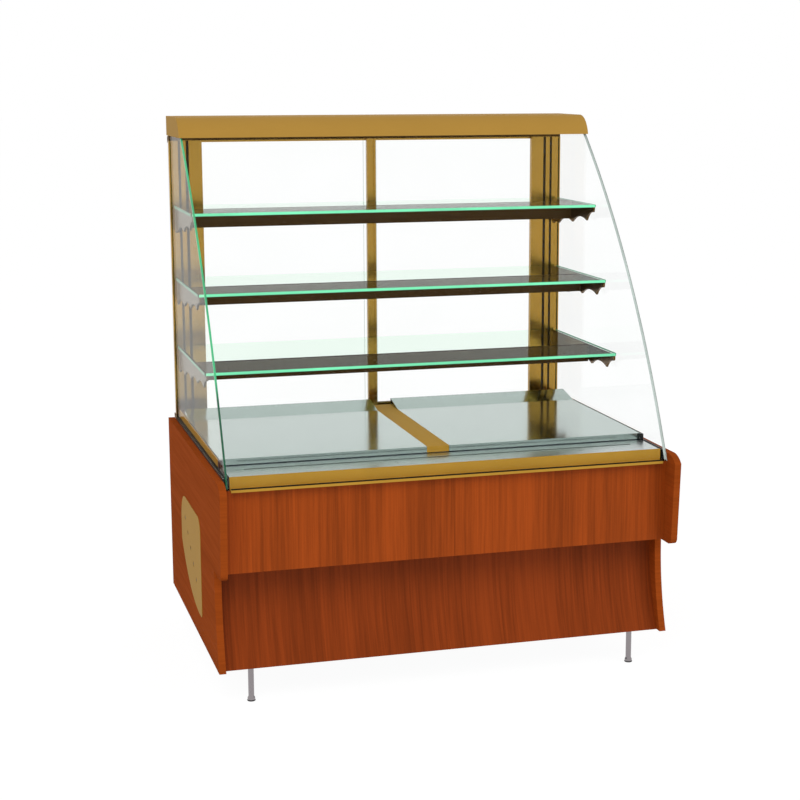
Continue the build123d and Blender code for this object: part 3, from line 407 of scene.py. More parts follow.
@dataclass(frozen=True)
class Coating(Finish):
    """Powder coat, paint, plastic or rubber with a fine orange-peel surface."""

    grain_mm: float = 1.2
    depth_mm: float = 0.03
    wear: float = 0.06
    gloss: float = 0.4
    cloud_scale: float = 11.0
    spread: float = 0.05

    def build(self) -> bpy.types.Material:
        """Make the coating."""
        nodes = self.nodes()
        constants = {"Roughness": self.roughness, "Specular IOR Level": self.gloss}
        shader = nodes.principled(self.colour, constants)
        peel = nodes.noise(EVEN, 1000 / self.grain_mm, 2.0)
        cloud = nodes.noise(EVEN, self.cloud_scale)
        low, high = self.roughness - self.spread, self.roughness + self.spread
        nodes.put(shader, {
            "Base Color": nodes.tint(cloud, self.colour, (1 - self.wear, 1 + self.wear)),
            "Roughness": nodes.remap(cloud, *NOISE_SPAN, low, high),
            "Normal": nodes.bump(peel, self.depth_mm),
        })
        return nodes.holder


@dataclass(frozen=True)
class CutEdge:
    """Look of a glass sheet's cut edge on one side, with painted shade as a darker run at its foot."""

    side: Side
    colour: Colour
    # Painted shade: the edge's colour below a height, with the height and the fade where it starts.
    foot_shade: Optional[Colour] = None
    shade_top: float = 0.86
    shade_fade: float = 0.03


@dataclass(frozen=True)
class SheetGlass(Finish):
    """Clear sheet glass with green cut edges that glow with painted light. Lamps shine through it."""

    roughness: float = 0.0
    index: float = 1.45
    edges: tuple[CutEdge, ...] = ()
    edge_limit: float = 0.9
    edge_roughness: float = 0.3
    edge_gloss: float = 0.3
    # Strength of the cut edges' glow in their own colour: painted light, not a lamp.
    painted_glow: float = 0.22
    shadow: Colour = (0.985, 0.995, 0.99)
    cloud_scale: float = 5.0
    cloud_span: Span = (0.35, 0.65)
    clear_factors: Span = (0.994, 1.004)
    edge_factors: Span = (0.88, 1.1)

    def build(self) -> bpy.types.Material:
        """Make the glass."""
        nodes = self.nodes()
        constants = {"Roughness": self.roughness, "Transmission Weight": 1.0, "IOR": self.index}
        clear = nodes.principled(self.colour, constants)
        cloud = nodes.noise(EVEN, self.cloud_scale, 2.0)
        nodes.put(clear, {"Base Color": nodes.tint(cloud, self.colour, self.clear_factors, self.cloud_span)})
        # Cut edges: their colour plus a painted glow of the same colour.
        edge = nodes.add("ShaderNodeBsdfPrincipled", {
            "Roughness": self.edge_roughness,
            "Specular IOR Level": self.edge_gloss,
            "Emission Strength": self.painted_glow,
        })
        mask, paint = self.cut(nodes, cloud)
        nodes.put(edge, {"Base Color": paint, "Emission Color": paint})
        both = nodes.blend(mask, clear, edge)
        through = nodes.add("ShaderNodeBsdfTransparent", {"Color": (*self.shadow, 1.0)})
        nodes.show(nodes.blend(nodes.rays("Shadow", "Diffuse"), both, through))
        return nodes.holder

    def cut(self, nodes: Nodes, cloud: Socket) -> tuple[Socket, Socket]:
        """Where the cut edges lie, and their colour.

        Args:
            nodes: The material's nodes.
            cloud: Slow variation along the edge.

        Returns:
            The mask and the colour.
        """
        mask, paint = None, None
        for edge in self.edges:
            here = nodes.facing(edge.side, self.edge_limit)
            tint = nodes.tint(cloud, edge.colour, self.edge_factors, self.cloud_span)
            # Below the height the edge turns to its painted shade colour.
            if edge.foot_shade:
                low, high = edge.shade_top - edge.shade_fade, edge.shade_top + edge.shade_fade
                above = nodes.remap(nodes.height(), low, high)
                tint = nodes.mix(above, nodes.solid(edge.foot_shade), tint)
            paint = tint if paint is None else nodes.mix(here, paint, tint)
            mask = here if mask is None else nodes.math("MAXIMUM", mask, here)
        return mask, paint


class Shape:
    """A mesh under construction, in metres in the row frame."""

    def __init__(self) -> None:
        """Start empty."""
        self.mesh = bmesh.new()

    def close(self, name: str) -> bpy.types.Mesh:
        """Turn the shape into a mesh with its normals outward, and free it.

        Args:
            name: Name of the mesh.

        Returns:
            The mesh.
        """
        data = bpy.data.meshes.new(name)
        bmesh.ops.recalc_face_normals(self.mesh, faces=self.mesh.faces)
        self.mesh.to_mesh(data)
        self.mesh.free()
        return data

    def prism(self, outline: Iterable[Vector], run: Vector) -> None:
        """Closed bar whose section is drawn along a straight run.

        Args:
            outline: Corners of the section.
            run: The run.
        """
        near = [self.mesh.verts.new(corner) for corner in outline]
        far = [self.mesh.verts.new(vert.co + run) for vert in near]
        self.mesh.faces.new(near)
        self.mesh.faces.new(list(reversed(far)))
        for index, vert in enumerate(near):
            after = (index + 1) % len(near)
            self.mesh.faces.new((vert, far[index], far[after], near[after]))

    def bar(self, across: Span, depths: Span, heights: Span, soften: float) -> None:
        """Straight bar between limits, with softened edges.

        Args:
            across: Limits to the sides in millimetres.
            depths: Limits ahead of the back in millimetres.
            heights: Limits above the base's underside in millimetres.
            soften: Width of the softened edges in millimetres.
        """
        (near, far), (low, high) = depths, heights
        corners = ((near, low), (far, low), (far, high), (near, high))
        kept = set(self.mesh.edges)
        run = Vector(((across[1] - across[0]) * MM, 0.0, 0.0))
        self.prism([spot(across[0], *corner) for corner in corners], run)
        fresh = [edge for edge in self.mesh.edges if edge not in kept]
        bmesh.ops.bevel(self.mesh, geom=fresh, offset=soften * MM, segments=2, profile=0.5, affect="EDGES")

    def ring(
        self, radii: list[float], rise: float, centre: Vector = Vector(), turn: Optional[Matrix] = None
    ) -> list:
        """Vertices round an axis at even steps.

        Args:
            radii: Radius at each step in millimetres. One radius alone makes a pole.
            rise: Distance along the axis in millimetres.
            centre: Start of the axis.
            turn: Turn of the axis away from straight up.

        Returns:
            The vertices.
        """
        made = []
        for step, radius in enumerate(radii):
            angle = FULL_TURN * step / len(radii)
            local = Vector((radius * math.cos(angle), radius * math.sin(angle), rise)) * MM
            made.append(self.mesh.verts.new(centre + (turn @ local if turn else local)))
        return made

    def skin(self, rings: list[list]) -> None:
        """Faces between each ring and the next.

        Args:
            rings: The rings, of which any may be a pole.
        """
        for low, high in zip(rings, rings[1:]):
            sides = max(len(low), len(high))
            for step in range(sides):
                after = (step + 1) % sides
                corners = (low[step % len(low)], low[after % len(low)])
                corners += (high[after % len(high)], high[step % len(high)])
                self.mesh.faces.new(list(dict.fromkeys(corners)))

    def turned(self, profile: Iterable[Span], centre: Vector, along: Vector, sides: int = 32) -> None:
        """Closed turned form around an axis.

        Args:
            profile: Radius and distance along the axis in millimetres, from pole to pole or as a closed ring.
            centre: Start of the axis.
            along: Direction of the axis.
            sides: Steps round it.
        """
        turn = along.to_track_quat("Z", "Y").to_matrix()
        rings = [
            self.ring([radius] * (sides if radius else 1), rise, centre, turn) for radius, rise in profile
        ]
        self.skin(rings if len(rings[0]) == 1 else rings + rings[:1])

    def tube(self, points: list[Vector], radius: float, sides: int = 12) -> None:
        """Closed round tube along a line of points.

        Args:
            points: The line.
            radius: Radius in millimetres.
            sides: Steps round it.
        """
        rings = []
        for before, point, after in zip(points[:1] + points, points, points[1:] + points[-1:]):
            turn = (after - before).to_track_quat("Z", "Y").to_matrix()
            rings.append(self.ring([radius] * sides, 0.0, point, turn))
        self.skin(rings)
        self.mesh.faces.new(list(reversed(rings[0])))
        self.mesh.faces.new(rings[-1])


class Pattern(Wiring):
    """Geometry Nodes tree with named inputs, closed by Realize Instances and Set Material."""

    def __init__(self, name: str, inputs: dict[str, str]) -> None:
        """Start a tree that takes the geometry and the finish.

        Args:
            name: Name of the tree.
            inputs: Its other named inputs, with the kind of each.
        """
        super().__init__(bpy.data.node_groups.new(name, "GeometryNodeTree"))
        face = self.tree.interface
        for label, kind in {"Geometry": "Geometry", "Finish": "Material", **inputs}.items():
            face.new_socket(name=label, in_out="INPUT", socket_type=f"NodeSocket{kind}")
        face.new_socket(name="Result", in_out="OUTPUT", socket_type="NodeSocketGeometry")
        self.inside = self.add("NodeGroupInput").outputs
        self.out = self.add("NodeGroupOutput")

    def close(self, instances: Node) -> bpy.types.NodeTree:
        """Make the instances real and give them their finish.

        Args:
            instances: The node that makes them.

        Returns:
            The finished tree.
        """
        real = self.add("GeometryNodeRealizeInstances", {0: instances.outputs[0]})
        values = {0: real.outputs[0], "Material": self.inside["Finish"]}
        self.put(self.out, {0: self.add("GeometryNodeSetMaterial", values).outputs[0]})
        return self.tree

    @staticmethod
    def row() -> bpy.types.NodeTree:
        """Row of flat rounded tablets, such as fins or slots, at an even pitch."""
        sizes = {name: "Float" for name in ("Long", "Wide", "Thick", "Round")}
        pattern = Pattern(
            "tablet_row", {"Count": "Int", "Start": "Vector", "Pitch": "Vector", **sizes, "Facing": "Vector"}
        )
        add, inside = pattern.add, pattern.inside
        places = {"Count": inside["Count"], "Start Location": inside["Start"], "Offset": inside["Pitch"]}
        line = add("GeometryNodeMeshLine", places, mode="OFFSET", count_mode="TOTAL")
        size = {"Width": inside["Long"], "Height": inside["Wide"]}
        outline = add("GeometryNodeCurvePrimitiveQuadrilateral", size)
        corners = {"Count": 4, "Curve": outline.outputs[0], "Radius": inside["Round"]}
        fillet = add("GeometryNodeFilletCurve", corners, mode="POLY")
        fill = add("GeometryNodeFillCurve", {"Curve": fillet.outputs[0]}, mode="NGONS")
        rise = {"Individual": False, "Mesh": fill.outputs[0], "Offset Scale": inside["Thick"]}
        thicken = add("GeometryNodeExtrudeMesh", rise, mode="FACES")
        back = add("GeometryNodeFlipFaces", {"Mesh": fill.outputs[0]})
        join = add("GeometryNodeJoinGeometry", {0: thicken.outputs["Mesh"]})
        pattern.put(join, {0: back.outputs[0]})
        weld = add("GeometryNodeMergeByDistance", {"Distance": WELD, "Geometry": join.outputs[0]})
        turn = add("GeometryNodeTransform", {"Geometry": weld.outputs[0], "Rotation": inside["Facing"]})
        return pattern.close(
            add("GeometryNodeInstanceOnPoints", {"Points": line.outputs[0], "Instance": turn.outputs[0]})
        )

    @staticmethod
    def scatter() -> bpy.types.NodeTree:
        """A fixing set on each point, each turned its own way round its axis."""
        inputs = {"Head": "Object", "Facing": "Vector", "Most Turn": "Float", "Seed": "Int"}
        pattern = Pattern("fixing_scatter", inputs)
        add, inside = pattern.add, pattern.inside
        head = add("GeometryNodeObjectInfo", {"Object": inside["Head"]}, transform_space="ORIGINAL")
        spread = add("GeometryNodeInstanceOnPoints", {
            "Points": inside["Geometry"],
            "Instance": head.outputs["Geometry"],
            "Rotation": inside["Facing"],
        })
        chance = add("FunctionNodeRandomValue", {"Seed": inside["Seed"]}, data_type="FLOAT")
        most = next(at for at, found in enumerate(chance.inputs) if found.name == "Max" and found.enabled)
        pattern.put(chance, {most: inside["Most Turn"]})
        turn = add("ShaderNodeCombineXYZ", {"Z": next(found for found in chance.outputs if found.enabled)})
        spin = {"Instances": spread.outputs[0], "Rotation": turn.outputs[0]}
        return pattern.close(add("GeometryNodeRotateInstances", spin))


class Workshop:
    """Keeps each finish once and dresses CAD nodes and new pieces with it."""

    def __init__(self) -> None:
        """Start with no finish made and the two patterns ready."""
        self.made: dict[str, bpy.types.Material] = {}
        self.row_tree = Pattern.row()
        self.scatter_tree = Pattern.scatter()

    def material(self, finish: Finish) -> bpy.types.Material:
        """The material of a finish, made on first use.

        Args:
            finish: The finish.

        Returns:
            Its material.
        """
        if finish.name not in self.made:
            self.made[finish.name] = finish.build()
        return self.made[finish.name]

    def dress(self, finish: Finish, *names: str) -> None:
        """Give CAD nodes a finish.

        Args:
            finish: What they get.
            *names: Names of the nodes.
        """
        for name in names:
            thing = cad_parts[name]
            material = self.material(finish)
            if not thing.material_slots:
                thing.data.materials.append(material)
            for slot in thing.material_slots:
                slot.material = material
            LOG.info("node %s: %s", name, finish.name)

    def enter(self, name: str, data: bpy.types.Mesh, body: Body, smooth: bool) -> None:
        """Put a finished mesh on its body.

        Args:
            name: Name of the piece.
            data: Its mesh.
            body: What it rides on.
            smooth: True for smooth shading.
        """
        for face in data.polygons:
            face.use_smooth = smooth
        thing = bpy.data.objects.new(name, data)
        bpy.context.scene.collection.objects.link(thing)
        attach(thing, body.value)
        LOG.info("piece %s: %d faces", name, len(data.polygons))

    def piece(
        self, name: str, shape: Shape, finish: Finish, slot: str, body: Body = Body.CASE, smooth: bool = False
    ) -> None:
        """Turn a shape into a piece that rides on a body.

        Args:
            name: Name of the piece.
            shape: Its shape, which is freed.
            finish: What it is made of.
            slot: Not used.
            body: What it rides on.
            smooth: True for smooth shading.
        """
        data = shape.close(name)
        data.materials.append(self.material(finish))
        self.enter(name, data, body, smooth)

    def grow(
        self,
        name: str,
        tree: bpy.types.NodeTree,
        finish: Finish,
        inputs: dict[str, object],
        points: Iterable[Vector] = (),
    ) -> None:
        """Run a pattern and keep what it makes as a plain mesh on the case.

        Args:
            name: Name of the piece.
            tree: The pattern.
            finish: What it is made of.
            inputs: Values of the pattern's named inputs.
            points: Where the pattern sets its fixings.
        """
        seedbed = bpy.data.meshes.new(f"{name}_points")
        seedbed.from_pydata([tuple(point) for point in points], [], [])
        host = bpy.data.objects.new(f"{name}_points", seedbed)
        modifier = host.modifiers.new("pattern", "NODES")
        modifier.node_group = tree
        values = {**inputs, "Finish": self.material(finish)}
        for item in tree.interface.items_tree:
            if item.item_type == "SOCKET" and item.in_out == "INPUT" and item.name in values:
                modifier[item.identifier] = values[item.name]
        data = harvest(host)
        bpy.data.meshes.remove(seedbed)
        data.name = name
        self.enter(name, data, Body.CASE, False)

    def fixings(
        self, name: str, head: Shape, points: Iterable[Vector], facing: Point, finish: Finish, slot: str
    ) -> None:
        """Set one fixing at each point.

        Args:
            name: Name of the piece.
            head: Shape of one fixing, standing up on the origin. It is freed.
            points: Where they sit.
            facing: Turn in degrees that points them the right way.
            finish: What they are made of.
            slot: Not used.
        """
        sample = bpy.data.objects.new(f"{name}_head", head.close(f"{name}_head"))
        bpy.context.scene.collection.objects.link(sample)
        inputs = {
            "Head": sample,
            "Facing": [math.radians(angle) for angle in facing],
            "Most Turn": FULL_TURN,
            "Seed": FIXING_SEED,
        }
        self.grow(name, self.scatter_tree, finish, inputs, points)
        bpy.data.objects.remove(sample)

    def tablets(
        self,
        name: str,
        start: Vector,
        pitch: Vector,
        count: int,
        size: Point,
        facing: Point,
        finish: Finish,
        slot: str,
        rounding: float = 0.1,
    ) -> None:
        """Row of flat tablets.

        Args:
            name: Name of the piece.
            start: Middle of the first one's back.
            pitch: Step to the next.
            count: How many.
            size: Length, width and thickness in millimetres.
            facing: Turn in degrees of a tablet that lies flat.
            finish: What they are made of.
            slot: Not used.
            rounding: Radius of their corners in millimetres.
        """
        sizes = dict(zip(("Long", "Wide", "Thick", "Round"), (size_mm * MM for size_mm in (*size, rounding))))
        turn = [math.radians(angle) for angle in facing]
        inputs = {"Count": count, "Start": list(start), "Pitch": list(pitch), **sizes, "Facing": turn}
        self.grow(name, self.row_tree, finish, inputs)


@dataclass(frozen=True)
class CrossScrew:
    """Domed screw head with a cross recess, in shares of its radius and height."""

    radius: float
    rise: float
    sides: int = 24
    dome: tuple[Span, ...] = ((1.0, 0.0), (1.0, 0.35), (0.86, 0.72), (0.6, 0.94), (0.42, 1.0))
    wings: int = 4
    wing_limit: float = 0.4
    wing_reach: float = 0.36
    core_reach: float = 0.14
    recess_level: float = 0.45

    def head(self) -> Shape:
        """The head, standing on the origin."""
        shape = Shape()
        levels = ((share * self.radius, level * self.rise) for share, level in self.dome)
        rings = [shape.ring([radius] * self.sides, rise) for radius, rise in levels]
        shape.mesh.faces.new(list(reversed(rings[0])))
        waves = (math.cos(self.wings * FULL_TURN * step / self.sides) for step in range(self.sides))
        reaches = [self.wing_reach if wave > self.wing_limit else self.core_reach for wave in waves]
        recess = shape.ring([reach * self.radius for reach in reaches], self.recess_level * self.rise)
        shape.skin([*rings, recess])
        shape.mesh.faces.new(recess)
        return shape


# Finishes of this case
WOOD_FRONT = WoodVeneer("wood_front", tone(150, 64, 12), 0.58)
WOOD_KICK = WoodVeneer("wood_kick", tone(134, 55, 12), 0.58, band_mm=80.0)
WOOD_SIDE = WoodVeneer(
    "wood_side", tone(150, 68, 22), 0.8, contrast=0.14, across=Axis.UP, band_mm=90.0, gloss=0.01
)
CANOPY_GOLD = Metal(
    "canopy_gold", tone(174, 134, 61), 0.6, metallic=0.08, streaks=0.03, clouds=0.02, gloss=0.04
)
GOLD_PROFILE = Metal("gold_profile", tone(184, 140, 54), 0.55, metallic=0.05, gloss=0.03)
POST_GOLD = Metal("post_gold", tone(168, 132, 60), 0.2, brush=Axis.UP)
# Dark brown painted shade in the uprights' grooves.
GROOVE_SHADE = Metal("groove_painted_shade", tone(58, 44, 18), 0.4, brush=Axis.UP, metallic=0.5, gloss=0.2)
# Bracket gold darkened to brown: painted shade on the shelf brackets.
BRACKET_SHADE = Metal("bracket_painted_shade", tone(96, 70, 32), 0.3, metallic=0.9)
BEAM_BRONZE = Metal("head_beam_bronze", tone(92, 66, 30), 0.5, metallic=0.1, gloss=0.15)
TRAY_STEEL = Metal("tray_steel", tone(165, 181, 175), 0.13, streaks=0.03, clouds=0.02)
LEDGE_STEEL = Metal("ledge_steel", tone(204, 210, 209), 0.3)
GALVANISED = Metal("galvanised", tone(176, 180, 182), 0.42, clouds=0.12)
FIN_METAL = Metal("fin_aluminium", tone(196, 200, 204), 0.35, brush=Axis.UP)
COPPER = Metal("copper_pipe", tone(196, 118, 82), 0.28)
SCREW_ZINC = Metal("screw_zinc", tone(200, 202, 204), 0.25)
CHROME = Metal("chrome", tone(146, 140, 142), 0.2, brush=Axis.UP, streaks=0.03)
BEAM_PAINT = Coating("beam_paint", tone(58, 40, 14), 0.45, gloss=0.1)
# Black trim and fittings; under the deck's air slot it is painted shade.
BLACK_TRIM_AND_SHADE = Coating("black_trim_and_shade", tone(18, 18, 18), 0.4)
# Blue-black painted shade in the gaps at the trays' fronts and outer sides.
BLUE_BLACK_SHADE = Coating("blue_black_painted_shade", tone(24, 34, 44), 0.45)
# Dark rubber of seals and stops; at the foot of the bowed glass it is painted shade.
SEAL_RUBBER_AND_SHADE = Coating("seal_rubber_and_shade", tone(30, 24, 16), 0.7, gloss=0.15)
BRUSH_PILE = Coating("brush_pile", tone(46, 44, 42), 0.9, grain_mm=0.6, depth_mm=0.3, gloss=0.1)
GREY_PANEL = Coating("grey_panel", tone(190, 192, 192), 0.5, wear=0.025)
WHITE_LINER = Coating("white_liner", tone(232, 232, 230), 0.35)
WHITE_PAINT = Coating("white_paint", tone(238, 238, 234), 0.3)
LAMP_WHITE = Coating("lamp_diffuser", tone(246, 246, 240), 0.25)
MACHINE_BLACK = Coating("machine_black", tone(26, 26, 28), 0.3)
PRINT_WHITE = Coating("print_white", tone(236, 236, 232), 0.5)
PRINT_BLACK = Coating("print_black", tone(24, 24, 24), 0.5)
RED_ROCKER = Coating("red_rocker", tone(176, 24, 18), 0.25)
PILOT_AMBER = Coating("pilot_amber", tone(226, 122, 22), 0.18)
EDGE_GREEN = tone(120, 228, 176)
# Dark edge green: painted shade at the foot of the front pane's and left side pane's edges, and the colour of
# the side panes' rear edges.
EDGE_DARK = tone(28, 84, 58)
EDGE_SOFT = tone(84, 150, 120)
EDGE_DOOR = tone(70, 140, 108)
SHELF_GLASS = SheetGlass(
    "shelf_glass",
    (0.86, 0.97, 0.89),
    index=1.026,
    edges=(CutEdge(Side.FRONT, EDGE_GREEN), CutEdge(Side.LEFT, EDGE_SOFT), CutEdge(Side.RIGHT, EDGE_SOFT)),
)
PANE_GLASS = SheetGlass(
    "pane_glass",
    (0.992, 0.999, 0.996),
    index=1.07,
    # Left edge turns to painted shade below 0.86 m.
    edges=(CutEdge(Side.LEFT, tone(70, 196, 130), EDGE_DARK), CutEdge(Side.RIGHT, tone(172, 182, 176))),
    painted_glow=0.12,
)
LEFT_GLASS = SheetGlass(
    "left_side_glass",
    (0.985, 0.999, 0.975),
    index=1.035,
    # Front edge turns to painted shade below 0.86 m.
    edges=(CutEdge(Side.FRONT, tone(70, 176, 122), EDGE_DARK), CutEdge(Side.REAR, EDGE_DARK)),
    edge_limit=0.4,
    painted_glow=0.1,
)
RIGHT_GLASS = SheetGlass(
    "right_side_glass",
    (0.992, 0.999, 0.996),
    index=1.1,
    edges=(CutEdge(Side.FRONT, tone(178, 188, 184)), CutEdge(Side.REAR, EDGE_DARK)),
    edge_limit=0.4,
    painted_glow=0.1,
)
DOOR_GLASS = SheetGlass(
    "door_glass",
    (0.994, 0.999, 0.997),
    index=1.1,
    edges=(CutEdge(Side.LEFT, EDGE_DOOR), CutEdge(Side.RIGHT, EDGE_DOOR)),
    painted_glow=0.05,
)


@dataclass
class WoodenBase:
    """Veneered boards of the stepped base, and the plates on its sides."""

    shop: Workshop
    plate_face: float = 650.05
    plate_rear: float = 244.0
    plate_length: float = 364.0
    plate_low: float = 72.0
    plate_high: float = 358.0
    insert_count: int = 5
    insert_reach: float = 8.7
    insert_thickness: float = 0.5
    row_start: Span = (0.08, 0.1)
    row_run: Span = (0.8, 0.72)

    def build(self) -> None:
        """Dress the boards and fill the plates."""
        self.shop.dress(WOOD_SIDE, "side_panel_left", "side_panel_right")
        self.shop.dress(WOOD_FRONT, "front_panel_upper")
        self.shop.dress(WOOD_KICK, "front_panel_lower", "front_soffit")
        self.shop.dress(CANOPY_GOLD, "side_plates")
        self.inserts()

    def inserts(self) -> None:
        """Dark diamonds that fill the slanting row of holes in each side plate."""
        shape, reach = Shape(), self.insert_reach
        for step in range(self.insert_count):
            share = (step + 1) / (self.insert_count + 1)
            along, down = (first + run * share for first, run in zip(self.row_start, self.row_run))
            depth = self.plate_rear + self.plate_length * along
            height = self.plate_high - (self.plate_high - self.plate_low) * down
            corners = ((depth - reach, height), (depth, height - reach))
            corners += ((depth + reach, height), (depth, height + reach))
            for side in (-1, 1):
                outline = [spot(side * self.plate_face, *corner) for corner in corners]
                shape.prism(outline, Vector((side * self.insert_thickness * MM, 0.0, 0.0)))
        self.shop.piece("plate_inserts", shape, BLACK_TRIM_AND_SHADE, "black")


@dataclass
class BaseFrame:
    """Steel floor, rail, bearers, legs and the louvred rear panel with its screws."""

    shop: Workshop
    panel_depth: float = 2.0
    panel_screw_x: tuple[float, ...] = (-600.0, -300.0, 0.0, 300.0, 600.0)
    panel_screw_heights: tuple[float, ...] = (14.0, 515.0)
    panel_screw: CrossScrew = CrossScrew(4.2, 1.5)
    foot_radius: float = 10.5
    glide_radius: float = 11.4
    glide_wall: float = 1.0
    glide_span: Span = (0.2, 3.5)
    glide_soften: float = 0.5

    def build(self) -> None:
        """Dress the steelwork, screw the panel on and put the glides under the legs."""
        self.shop.dress(GALVANISED, "base_floor", "rear_rail", "tub_bearers", "deck_bearer", "fan_shroud")
        self.shop.dress(CHROME, "legs")
        self.shop.dress(GREY_PANEL, "rear_panel", "control_box")
        self.shop.dress(BLACK_TRIM_AND_SHADE, "cable_gland")
        self.panel_screws()
        self.glides()

    def panel_screws(self) -> None:
        """Screws along the top and bottom of the rear panel."""
        heights = self.panel_screw_heights
        points = [spot(x, self.panel_depth, height) for height in heights for x in self.panel_screw_x]
        head = self.panel_screw.head()
        self.shop.fixings("rear_panel_screws", head, points, (-90.0, 0.0, 0.0), SCREW_ZINC, "galv")

    def glides(self) -> None:
        """Dark glide round the foot of each leg."""
        low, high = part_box("legs")
        shape, outer, soft = Shape(), self.glide_radius, self.glide_soften
        inner, (foot, top) = outer - self.glide_wall, self.glide_span
        profile = (
            (inner, foot), (outer - soft, foot), (outer, foot + soft),
            (outer, top - soft), (outer - soft, top), (inner, top),
        )
        inset = self.foot_radius * MM
        for leg_x in (low[0] + inset, high[0] - inset):
            for leg_y in (low[1] + inset, high[1] - inset):
                shape.turned(profile, Vector((leg_x, leg_y, 0.0)), Vector((0.0, 0.0, 1.0)))
        self.shop.piece("leg_glides", shape, BLACK_TRIM_AND_SHADE, "rubber", smooth=True)


@dataclass
class Machinery:
    """Compressor, condenser, fan and controls in the base, and the cold tub.

    Routes, cover and pointer are measured from the middle of the compressor's can or of the dial.
    """

    shop: Workshop
    fin_pitch: float = 5.0
    fin_count: int = 55
    fin_size: Point = (270.0, 48.0, 0.3)
    fin_start: Point = (-465.0, 120.0, 148.0)
    can_middle: Point = (190.0, 330.0, 198.0)
    pipe_radius: float = 4.0
    delivery_route: tuple[Point, ...] = (
        (-25.0, 0.0, -8.0), (-25.0, 0.0, 35.0), (-120.0, -20.0, 70.0),
        (-260.0, -100.0, 60.0), (-340.0, -190.0, 40.0), (-372.0, -205.0, 20.0),
    )
    suction_route: tuple[Point, ...] = (
        (25.0, 0.0, -8.0), (25.0, 0.0, 60.0), (60.0, 40.0, 120.0), (60.0, 60.0, 160.0), (60.0, 60.0, 204.0),
    )
    pipe_order: int = 4
    pipe_steps: int = 8
    cover_spans: tuple[Span, Span, Span] = ((62.0, 82.0), (-24.0, 24.0), (-128.0, -68.0))
    cover_soften: float = 2.0
    dial_middle: Point = (457.5, 18.0, 325.0)
    dial_radius: float = 26.0
    dial_steps: int = 7
    dial_start: float = 225.0
    dial_sweep: float = 270.0
    digit_height: float = 6.5
    digit_rise: float = 0.12
    font_share: float = 1.4
    pointer_spans: tuple[Span, Span, Span] = ((-0.8, 0.8), (-12.9, -12.4), (3.0, 14.0))
    pointer_soften: float = 0.1
    switch_x: float = 382.5
    mark_reach: float = 27.0
    lamp_offset: Span = (33.0, 38.0)
    lamp_profile: tuple[Span, ...] = (
        (0.0, -2.0), (4.0, -2.0), (4.0, 1.0), (3.6, 2.4), (2.4, 3.6), (1.0, 4.1), (0.0, 4.2),
    )
    lamp_sides: int = 24

    def build(self) -> None:
        """Dress the machinery and add its fins, pipes, cover, dial and lamp."""
        self.shop.dress(MACHINE_BLACK, "compressor", "fan_motor", "fan_rotor", "thermostat_knob")
        self.shop.dress(FIN_METAL, "condenser", "evaporator")
        self.shop.dress(WHITE_LINER, "cold_tub")
        self.shop.dress(RED_ROCKER, "power_rocker")
        pitch, upright = Vector((self.fin_pitch * MM, 0.0, 0.0)), (0.0, 90.0, 0.0)
        start, count, size = spot(*self.fin_start), self.fin_count, self.fin_size
        self.shop.tablets("condenser_fins", start, pitch, count, size, upright, FIN_METAL, "fins")
        self.pipes()
        self.terminal_cover()
        self.dial()
        self.pilot_lamp()

    @staticmethod
    def shift(middle: Point, spans: Iterable[Iterable[float]]) -> list[tuple[float, ...]]:
        """Spans or limits along the three axes, moved to a middle."""
        return [tuple(centre + limit for limit in span) for centre, span in zip(middle, spans)]

    def pipes(self) -> None:
        """Two bent copper pipes from the compressor."""
        for name, route in (("delivery_pipe", self.delivery_route), ("suction_pipe", self.suction_route)):
            corners = [spot(*map(sum, zip(self.can_middle, point))) for point in route]
            shape = Shape()
            shape.tube(self.smooth_line(corners), self.pipe_radius)
            self.shop.piece(name, shape, COPPER, "steel", smooth=True)

    def smooth_line(self, corners: list[Vector]) -> list[Vector]:
        """Points of the smooth curve that a few corner points steer.

        Args:
            corners: Corner points, in metres.

        Returns:
            Points along the curve, in metres.
        """
        data = bpy.data.curves.new("pipe_route", "CURVE")
        data.dimensions = "3D"
        spline = data.splines.new("NURBS")
        spline.points.add(len(corners) - 1)
        for point, corner in zip(spline.points, corners):
            point.co = (*corner, 1.0)
        spline.order_u = self.pipe_order
        spline.use_endpoint_u = True
        spline.resolution_u = self.pipe_steps
        line = harvest(bpy.data.objects.new("pipe_route", data))
        points = [vert.co.copy() for vert in line.vertices]
        bpy.data.meshes.remove(line)
        return points

    def terminal_cover(self) -> None:
        """Cover over the compressor's terminals."""
        shape = Shape()
        shape.bar(*self.shift(self.can_middle, self.cover_spans), self.cover_soften)
        self.shop.piece("terminal_cover", shape, BLACK_TRIM_AND_SHADE, "black")

    def dial(self) -> None:
        """Numbers round the thermostat, its pointer line, and the switch's two marks."""
        x, depth, height = self.dial_middle
        for step in range(self.dial_steps):
            angle = math.radians(self.dial_start - self.dial_sweep * step / (self.dial_steps - 1))
            across = x - self.dial_radius * math.cos(angle)
            rise = height + self.dial_radius * math.sin(angle)
            self.print_mark(f"dial_number_{step + 1}", str(step + 1), (across, depth, rise))
        self.print_mark("switch_mark_on", "I", (self.switch_x, depth, height + self.mark_reach))
        self.print_mark("switch_mark_off", "O", (self.switch_x, depth, height - self.mark_reach))
        pointer = Shape()
        pointer.bar(*self.shift(self.dial_middle, self.pointer_spans), self.pointer_soften)
        self.shop.piece("knob_pointer", pointer, PRINT_WHITE, "knob_plastic", Body.KNOB)

